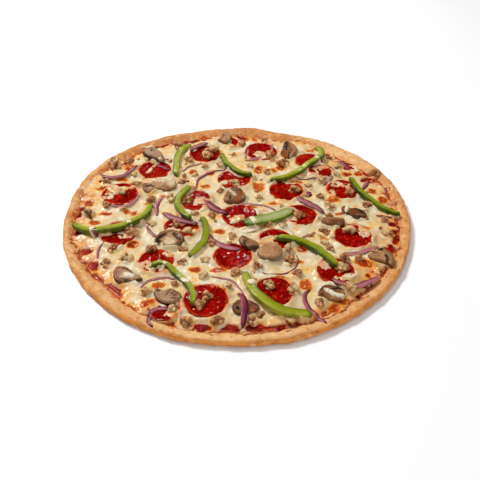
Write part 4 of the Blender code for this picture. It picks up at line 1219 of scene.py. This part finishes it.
def make_sausage(crumbs):
    """Torn lumps of sausage, each of many rounded bits with painted shade in the gaps between them, some
    filmed with cheese.
    """
    balls = {level: sphere_points(level) for level in (4, 5)}
    parts = {level: ([], [], []) for level in balls}
    fine_size = sorted(size for _, _, size in crumbs)[-FINE_LUMPS]
    brown, tan, pale, dark = srgb(176, 108, 58), srgb(208, 144, 90), srgb(236, 190, 134), srgb(84, 42, 18)
    film = srgb(222, 194, 138)
    for k, (x, y, size) in enumerate(crumbs):
        rand = random.Random(900 + k)
        level = 5 if size >= fine_size and len(parts[5][0]) < FINE_LUMPS else 4
        ball, triangles = balls[level]
        seat = float(surface_at(x, y))
        off = np.array([rand.uniform(0, 500) for _ in range(3)])
        reach, behind = np.full(len(ball), 0.45), np.full(len(ball), 0.1)
        for _ in range(rand.randint(10, 14)):
            out = np.array((rand.gauss(0, 1), rand.gauss(0, 1), rand.gauss(0.2, 0.7)))
            out /= np.linalg.norm(out)
            middle, radius = out * rand.uniform(0.34, 0.6), rand.uniform(0.25, 0.4)
            along = ball @ middle
            inside = along * along - middle @ middle + radius * radius
            far = np.where(inside > 0, along + np.sqrt(np.clip(inside, 0, None)), 0)
            behind = np.maximum(behind, np.minimum(reach, far))
            reach = np.maximum(reach, far)
        p, q, r = (ball * size / 2 + off).T
        grit = lumps(p, q, size * 0.2, 4, r)
        fine = lumps(p, q, size * 0.1, 5, r)
        body = ball * (reach * (1 + 0.08 * grit + 0.035 * fine))[:, None] * size * 0.68
        body = body * (rand.uniform(0.95, 1.15), rand.uniform(0.85, 1.05), rand.uniform(0.72, 0.9))
        px, py = turned(body[:, 0], body[:, 1], rand.uniform(0, 180))
        world = np.stack((x + px, y + py, seat + 0.1 * size + body[:, 2]), -1)
        lightness = rough(p, q, 4, 6, r) + rand.uniform(-0.5, 0.5)
        tone = layered(
            brown,
            (tan, step(-0.6, 0.6, lightness)),
            # Paler on the grit's bumps and darker in its pits: painted highlight and painted shade.
            (pale, 0.5 * step(0.1, 0.9, grit)),
            (dark, 0.5 * step(-0.2, -0.9, grit)),
            # Darker in the deep gaps and where two bits meet: painted shade.
            (dark, 0.7 * step(0.7, 0.44, reach)),
            (dark, 0.3 * np.exp(-(((reach - behind) / 0.07) ** 2))),
            (dark, 0.6 * step(0.45, 0.75, rough(p, q, 1.7, 9, r))),
        )
        if (k * 7) % 10 < 4:
            tone = mix(tone, film, 0.75 * step(-0.2, 0.5, ball[:, 2] * 0.4 + rough(p, q, 5, 8, r)))
        points, faces, tints = parts[level]
        faces.append(triangles + len(points) * len(ball))
        points.append(world)
        tints.append(tone)
    for name, level in (("sausage_lumps", 5), ("sausage_crumbs", 4)):
        points, faces, tints = (np.vstack(each) for each in parts[level])
        add_piece(name, points, faces.tolist(), tints, "sausage_meat", [], SAUSAGE_LOOK)


# The cheese around and over the toppings


def make_strands():
    """Strands and drops of cheese draped over the toppings."""
    ivory, butter = srgb(232, 220, 190), srgb(214, 196, 150)

    def colour(share, sx, sz, x, y):
        return mix(ivory, butter, 0.6 * step(0, 0.8, rough(x, y, 4, 990)))

    strands = []
    for k, (width, height, places) in enumerate(STRANDS):
        route = smooth_route(places, 1.0)
        under = surface_at(*route.T)
        for _ in range(2):
            padded = np.pad(under, 1, mode="edge")
            under = np.maximum(under, (padded[:-2] + padded[2:]) / 2 - 0.3)
        seats = evened(under, 1) - 0.35
        strands.append(ribbon(route, seats, width, height, 0.5, 16, 0.9, colour, 950 + k))
    add_piece("cheese_strands", *join(strands), "melted_cheese", [], CHEESE)


def lay_crumbs(crumbs):
    """Cheese rises a little around each crumb."""
    for x, y, size in crumbs:
        here = window(x - size, x + size, y - size, y + size, 3)
        away = np.hypot(GX[here] - x, GY[here] - y) - size * 0.42
        low = np.maximum(CHEESE_Z[here], TOP[here])
        uneven = 0.6 + 0.4 * lumps(GX[here], GY[here], 5, 77)
        rise = 0.22 * size * np.exp(-np.clip(away, 0, None) ** 2 / 4.5) * uneven
        CHEESE_Z[here] = np.where(TOP[here] < 0, low + np.maximum(rise, 0), CHEESE_Z[here])


def lay_veils():
    """Melted cheese that has run over toppings, thinnest at its edges."""
    for k, (x, y, rx, ry, turn, depth, pink) in enumerate(VEILS):
        here, share = ellipse(x, y, rx, ry, turn, 0.45, 200 + k)
        cover = step(1.12, 0.7, share)
        runs = FLAT[here] & (cover > 0)
        holes = step(0.25, 0.7, rough(GX[here], GY[here], 4.2, 230 + k)) * (0.4 + pink)
        level = TOP[here] - 0.7 + (depth + 0.9) * cover - 1.1 * holes
        CHEESE_Z[here] = np.where(runs, np.maximum(CHEESE_Z[here], level), CHEESE_Z[here])
        PINK[here] = np.where(runs, np.maximum(PINK[here], cover * pink), PINK[here])


def sheet(height, keep, tint, base):
    """(points, faces, tints) of the heights over the kept squares, with a skirt and a flat underside."""
    quads, used = square_faces(whole_squares(keep), height.shape[1])
    points = np.stack((GX.ravel()[used], GY.ravel()[used], height.ravel()[used]), -1)
    tints = tint.reshape(-1, 3)[used]
    rim = border_of(quads)
    border = sorted({v for pair in rim for v in pair})
    lower = {v: len(points) + n for n, v in enumerate(border)}
    skirt = points[border].copy()
    skirt[:, 2] = base
    centre = len(points) + len(border)
    points = np.vstack((points, skirt, [[0, 0, base]]))
    tints = np.vstack((tints, tints[border], tints[:1]))
    faces = quads.tolist()
    for a, b in rim:
        faces.append((b, a, lower[a], lower[b]))
        faces.append((lower[b], lower[a], centre))
    return points, faces, tints


def cheese_tint():
    """Ivory to gold, redder where it thins out at the border, round the slices and in the browned spots."""
    ivory, white = srgb(219, 201, 163), srgb(230, 222, 198)
    butter, gold = srgb(228, 196, 128), srgb(232, 162, 54)
    orange, red, blush = srgb(206, 80, 2), srgb(134, 22, 2), srgb(214, 126, 76)
    fawn, apricot, rust = srgb(207, 183, 138), srgb(236, 180, 108), srgb(186, 50, 22)
    patch = step(-0.1, 0.35, rough(GX, GY, 24, 421))
    zone = step(26, 4, BORDER - GR)
    stretch = lumps(GX * ROUND / np.maximum(GR, 1), GY * ROUND / np.maximum(GR, 1), 26, 441)
    depth = CHEESE_Z - GROUND + 0.35 * lumps(GX, GY, 3, 439) + 1.2 * step(-0.3, 0.5, stretch)
    tone = layered(
        ivory,
        (white, 0.85 * step(0.05, 0.55, rough(GX, GY, 11, 400))),
        (butter, 0.8 * step(0.0, 0.6, rough(GX, GY, 13, 410))),
        (fawn, 0.55 * step(0.1, 0.5, rough(GX, GY, 8, 425))),
        (gold, 0.8 * patch * step(0.3, 0.55, rough(GX, GY, 5, 420))),
        (apricot, 0.9 * zone * step(-0.35, 0.2, rough(GX, GY, 7, 430))),
        (gold, 0.7 * zone * step(0.0, 0.45, rough(GX, GY, 5, 435))),
        (white, 0.35 * zone * step(0.25, 0.5, rough(GX, GY, 6, 438))),
        (orange, 0.62 * zone * step(2.0, 1.0, depth)),
        (red, 0.8 * zone * step(1.2, 0.5, depth)),
    )
    for k, (_, cx, cy, radius, _) in enumerate(SLICES):
        here, away = disc(cx, cy, radius, 7)
        halo = np.exp(-np.clip(away, 0, None) / 1.8) * step(-0.35, 0.5, lumps(GX[here], GY[here], 7, 450 + k))
        tone[here] = mix(tone[here], srgb(218, 110, 44), 0.75 * halo * step(-3.5, -0.5, away))
    for k, (x, y, rx, ry, redness) in enumerate(SPOTS):
        here, share = ellipse(x, y, rx, ry, 0, 0.4, 460 + k)
        dotted = share + 0.25 * rough(GX[here], GY[here], 3, 470)
        tone[here] = layered(
            tone[here],
            (gold, 0.95 * step(1.4, 0.95, share)),
            (orange, (0.85 + 0.15 * redness) * step(1.1, 0.8, share)),
            (red, (0.25 + 0.75 * redness) * step(0.95, 0.5, dotted)),
        )
    return layered(
        tone,
        (blush, 0.75 * PINK * step(-0.6, 0.4, rough(GX, GY, 5, 480))),
        (rust, 0.6 * PINK * step(0.1, 0.6, rough(GX, GY, 3.4, 490))),
    )


def sink_spots():
    """A browned spot is a slight dip in the cheese, with a raised edge."""
    for k, (x, y, rx, ry, _) in enumerate(SPOTS):
        here, share = ellipse(x, y, rx, ry, 0, 0.4, 460 + k)
        dip = 0.25 * np.exp(-(((share - 1.1) / 0.15) ** 2)) - 0.5 * step(1.0, 0.5, share)
        CHEESE_Z[here] += np.where(TOP[here] < 0, dip, 0)


def make_cheese():
    """The sheet of cheese, wherever it stands out above the crust."""
    keep = (CHEESE_Z > np.maximum(crust_top(GX, GY), SAUCE_LEVEL - 1.0) - 0.5) & (GR < BORDER + 4)
    made = sheet(CHEESE_Z, keep, cheese_tint(), FLOOR - 0.6)
    flat_map(add_piece("melted_top", *made, "melted_cheese", ["cheese"], CHEESE), MAP_RADIUS)


# Sauce


def make_sauce():
    """A sheet whose uneven edge shows beyond the cheese."""
    t = around(720)
    edge, width, _ = rim_at(np.degrees(t))
    inner = edge - width
    rows, tints = [], []
    dark, bright, oily = srgb(104, 5, 2), srgb(152, 18, 5), srgb(204, 86, 28)
    for inset in (160, 60, *np.arange(34, -7, -1.0)):
        radius = np.maximum(inner - inset, 1)
        x, y = radius * np.cos(t), radius * np.sin(t)
        limit = np.maximum(-1.8 + 2.6 * lumps(x, y, 9, 501) + 1.8 * lumps(x, y, 4, 502), -2.4)
        swell = 0.3 * rough(x, y, 5, 503)
        reach = np.tanh(inset + limit)
        z = np.maximum(crust_top(x, y), SAUCE_LEVEL) - 0.2 + 0.62 * reach + swell * (reach > 0)
        rows.append(np.stack((x, y, z), -1))
        tints.append(layered(
            dark,
            (bright, step(-0.4, 0.6, rough(x, y, 5, 504))),
            (oily, 0.7 * step(0.3, -0.6, reach) + 0.25 * step(0.2, 0.7, rough(x, y, 3.4, 505))),
        ))
    radius = inner + 6
    rows.append(np.stack((radius * np.cos(t), radius * np.sin(t), np.full(len(t), FLOOR + 0.2)), -1))
    tints.append(tints[-1])
    points = np.vstack((*rows, [0, 0, SAUCE_LEVEL], [0, 0, FLOOR + 0.2]))
    tints = np.vstack((*tints, dark, dark))
    faces = ring_faces(len(rows), len(t), flip=True)
    flat_map(add_piece("sauce_layer", points, faces, tints, "tomato_sauce", ["sauce"], SAUCE), MAP_RADIUS)


# Crust


def toward(degrees, middle, spread):
    """1 in this direction from the centre, and less to either side."""
    return np.exp(-(((degrees - middle + 180) % 360 - 180) / spread) ** 2)


def crack_noise(x, y, z):
    """Near 0 along the fine cracks in the crust's side."""
    return lumps(x, y, 13, 713, z * 6)


def crust_tint(x, y, z, u, degrees):
    """Baked dough, browner at the back and paler in front, at this share of the rim's width in."""
    brown, toast, amber = srgb(168, 92, 36), srgb(212, 156, 98), srgb(234, 148, 62)
    pale, gold, tan, stained = srgb(232, 186, 128), srgb(210, 142, 78), srgb(192, 118, 58), srgb(214, 132, 72)
    sunlit = np.clip(toward(degrees, 268, 60) + toward(degrees, 42, 18), 0, 1)
    side = step(0.2, 0.0, u)
    crack = np.exp(-((crack_noise(x, y, z) / 0.09) ** 2)) * step(0.22, 0.04, u) * step(1.0, 2.4, z)
    flecks = step(0.3, 0.6, rough(x, y, 3.4, 718, z)) * step(0.1, 0.25, u)
    tone = layered(
        gold,
        (pale, 0.75 * step(-0.4, 0.5, rough(x, y, 14, 710, z))),
        (tan, 0.7 * step(-0.1, 0.6, rough(x, y, 9, 711, z))),
        (pale, 0.75 * sunlit * step(0.1, 0.4, u) * step(1.3, 0.8, u)),
        (brown, 0.75 * toward(degrees, 82, 17) * step(-0.7, 0.4, rough(x, y, 9, 712, z))),
        (tan, 0.6 * toward(degrees, 120, 24)),
        (amber, 0.8 * step(0.16, 0.04, u) * step(1.2, 3.0, z)),
        (tan, 0.6 * step(4.2, 2.4, z + 0.8 * lumps(x, y, 8, 719)) * side),
        (brown, 0.7 * step(1.8, 0.4, z) * side),
        (brown, 0.7 * crack),
        (tan, 0.5 * step(0.3, 0.65, rough(x, y, 6, 714, z)) * (u < 0.9)),
        (brown, 0.5 * step(0.42, 0.7, rough(x, y, 4.2, 715, z))),
        (pale, 0.45 * flecks),
        (stained, 0.7 * step(0.72, 1.0, u + 0.12 * rough(x, y, 5, 716))),
    )
    underside = layered(
        toast,
        (tan, step(-0.4, 0.6, lumps(x, y, 38, 720))),
        (brown, 0.6 * step(0.1, 0.7, lumps(x, y, 26, 721))),
        (pale, 0.5 * step(0.1, 0.8, lumps(x, y, 22, 722))),
    )
    return mix(tone, underside, z < 0.05)


def make_crust():
    """Rings from the middle of the underside, round the side and over the rim to the middle of the top.

    Each has its distance from the centre, its height and how much its surface may be uneven.
    """
    count = 900
    t = around(count)
    degrees = np.degrees(t)
    edge, width, crown = rim_at(degrees)
    rings = [(edge * s, np.zeros(count), 0) for s in np.linspace(0.04, 0.95, 22)]
    rings.append((edge - FOOT - 1.2, np.zeros(count), 0))
    for phi in np.radians(np.linspace(0, 90, 9)):
        z = np.full(count, SIDE * (1 - np.cos(phi)))
        rings.append((edge - FOOT * (1 - np.sin(phi)), z, np.sin(phi)))
    for phi in np.radians(np.linspace(6, 90, 15)):
        u = SHOULDER * (1 - max(0, np.cos(phi)) ** SQUARE)
        rings.append((edge - u * width, SIDE + (crown - SIDE) * np.sin(phi) ** SQUARE, 1))
    for u in np.linspace(SHOULDER + 0.04, 1.18, 24):
        rings.append((edge - u * width, rim_shape(np.full(count, u), crown), 1))
    rings += [(edge * s, np.full(count, FLOOR), 0) for s in (0.6, 0.3, 0.1)]
    r, z, free = (np.array(values) for values in zip(*rings))
    x, y = r * np.cos(t), r * np.sin(t)
    base = np.stack((x, y, z), -1)
    down = np.gradient(base, axis=0)
    along = (np.roll(base, -1, axis=1) - np.roll(base, 1, axis=1)) / 2
    normal = np.cross(along, down)
    normal /= np.linalg.norm(normal, axis=-1, keepdims=True) + 1e-9
    crease = np.exp(-((crack_noise(x, y, z) / 0.12) ** 2)) * (z > 1)
    relief = (
        0.3 * lumps(x, y, 14, 701, z)
        + 0.3 * lumps(x, y, 6.5, 702, z)
        + 0.16 * lumps(x, y, 3, 703, z * 2)
        - 0.25 * crease
    )
    blister = 0.35 * step(0.5, 0.85, lumps(x, y, 7, 705, z))
    points = base + normal * ((relief + blister - 0.3) * free[:, None])[..., None]
    points[..., 2] = np.maximum(points[..., 2], 0)
    tone = crust_tint(x, y, z, (edge - r) / width, np.broadcast_to(degrees, r.shape))
    points = np.vstack((points.reshape(-1, 3), [0, 0, 0], [0, 0, FLOOR]))
    tints = np.vstack((tone.reshape(-1, 3), tone[0].mean(0), srgb(210, 142, 78)))
    faces = ring_faces(len(rings), count)
    add_piece("crust_skin", points, faces, tints, "baked_dough", ["crust"], DOUGH)


# Assembly

lay_cheese()
lay_slices()
lay_mushrooms()
lay_peppers()
SEATS = onion_seats()
lay_onions(SEATS)
sink_spots()
lay_veils()
CRUMBS = list(SAUSAGE) + small_crumbs()
make_crust()
make_sauce()
for k in range(len(SLICES)):
    make_slice(k)
for k in range(len(MUSHROOMS)):
    make_mushroom(k)
for k in range(len(PEPPERS)):
    make_pepper(k)
make_onions(SEATS)
make_sausage(CRUMBS)
lay_crumbs(CRUMBS)
make_strands()
make_cheese()


# Floor, light and camera

CAMERA_SPOT = (0.00324, -0.4825, 0.3653)  # metres
CAMERA_LENS = 42.92
CAMERA_DOWN = 39.51  # degrees below the level

# Name, place in metres, size and energy
LIGHTS = (
    ("key", (-1.1, 1.0, 1.7), 0.5, 41.0),
    ("overhead", (-0.2, 0.1, 2.4), 1.8, 12.0),
    ("fill", (0.7, -1.9, 1.2), 1.6, 17.0),
    ("glint", (-0.2, 1.8, 1.45), 0.16, 5.0),
)


def floor():
    """A plain pale floor just below the pizza."""
    mesh = bpy.data.meshes.new("floor")
    mesh.from_pydata([(-6, -6, 0), (6, -6, 0), (6, 6, 0), (-6, 6, 0)], [], [(0, 1, 2, 3)])
    obj = placed("floor", mesh)
    obj.location.z = -0.2 * MM
    material, tree, shader = new_material("pale_floor")
    grain = node(tree, "ShaderNodeTexNoise", Scale=40.0, Detail=3.0)
    tone = node(tree, "ShaderNodeMapRange", To_Min=0.975, To_Max=0.99)
    tree.links.new(grain.outputs["Fac"], tone.inputs["Value"])
    tree.links.new(tone.outputs["Result"], shader.inputs["Base Color"])
    setting(shader, Roughness=0.9)
    mesh.materials.append(material)


def light(name, spot, size, energy):
    """A round lamp that faces the middle of the pizza."""
    data = bpy.data.lights.new(name, "AREA")
    data.shape = "DISK"
    data.size = size
    data.energy = energy
    obj = placed(name, data)
    obj.location = spot
    obj.rotation_euler = (-Vector(spot)).to_track_quat("-Z", "Y").to_euler()


def camera():
    """Looks down at the pizza from its front."""
    data = bpy.data.cameras.new("camera")
    data.lens = CAMERA_LENS
    data.sensor_width = 36
    data.clip_start = 0.01
    obj = placed("camera", data)
    obj.location = CAMERA_SPOT
    obj.rotation_euler = (math.radians(90 - CAMERA_DOWN), 0, 0)
    bpy.context.scene.camera = obj


def studio():
    """An even, dim white all round."""
    world = bpy.data.worlds.new("studio")
    world.use_nodes = True
    setting(world.node_tree.nodes["Background"], Color=(1, 1, 1, 1), Strength=0.12)
    bpy.context.scene.world = world
    bpy.context.scene.view_settings.view_transform = "Standard"


floor()
for lamp in LIGHTS:
    light(*lamp)
studio()
camera()
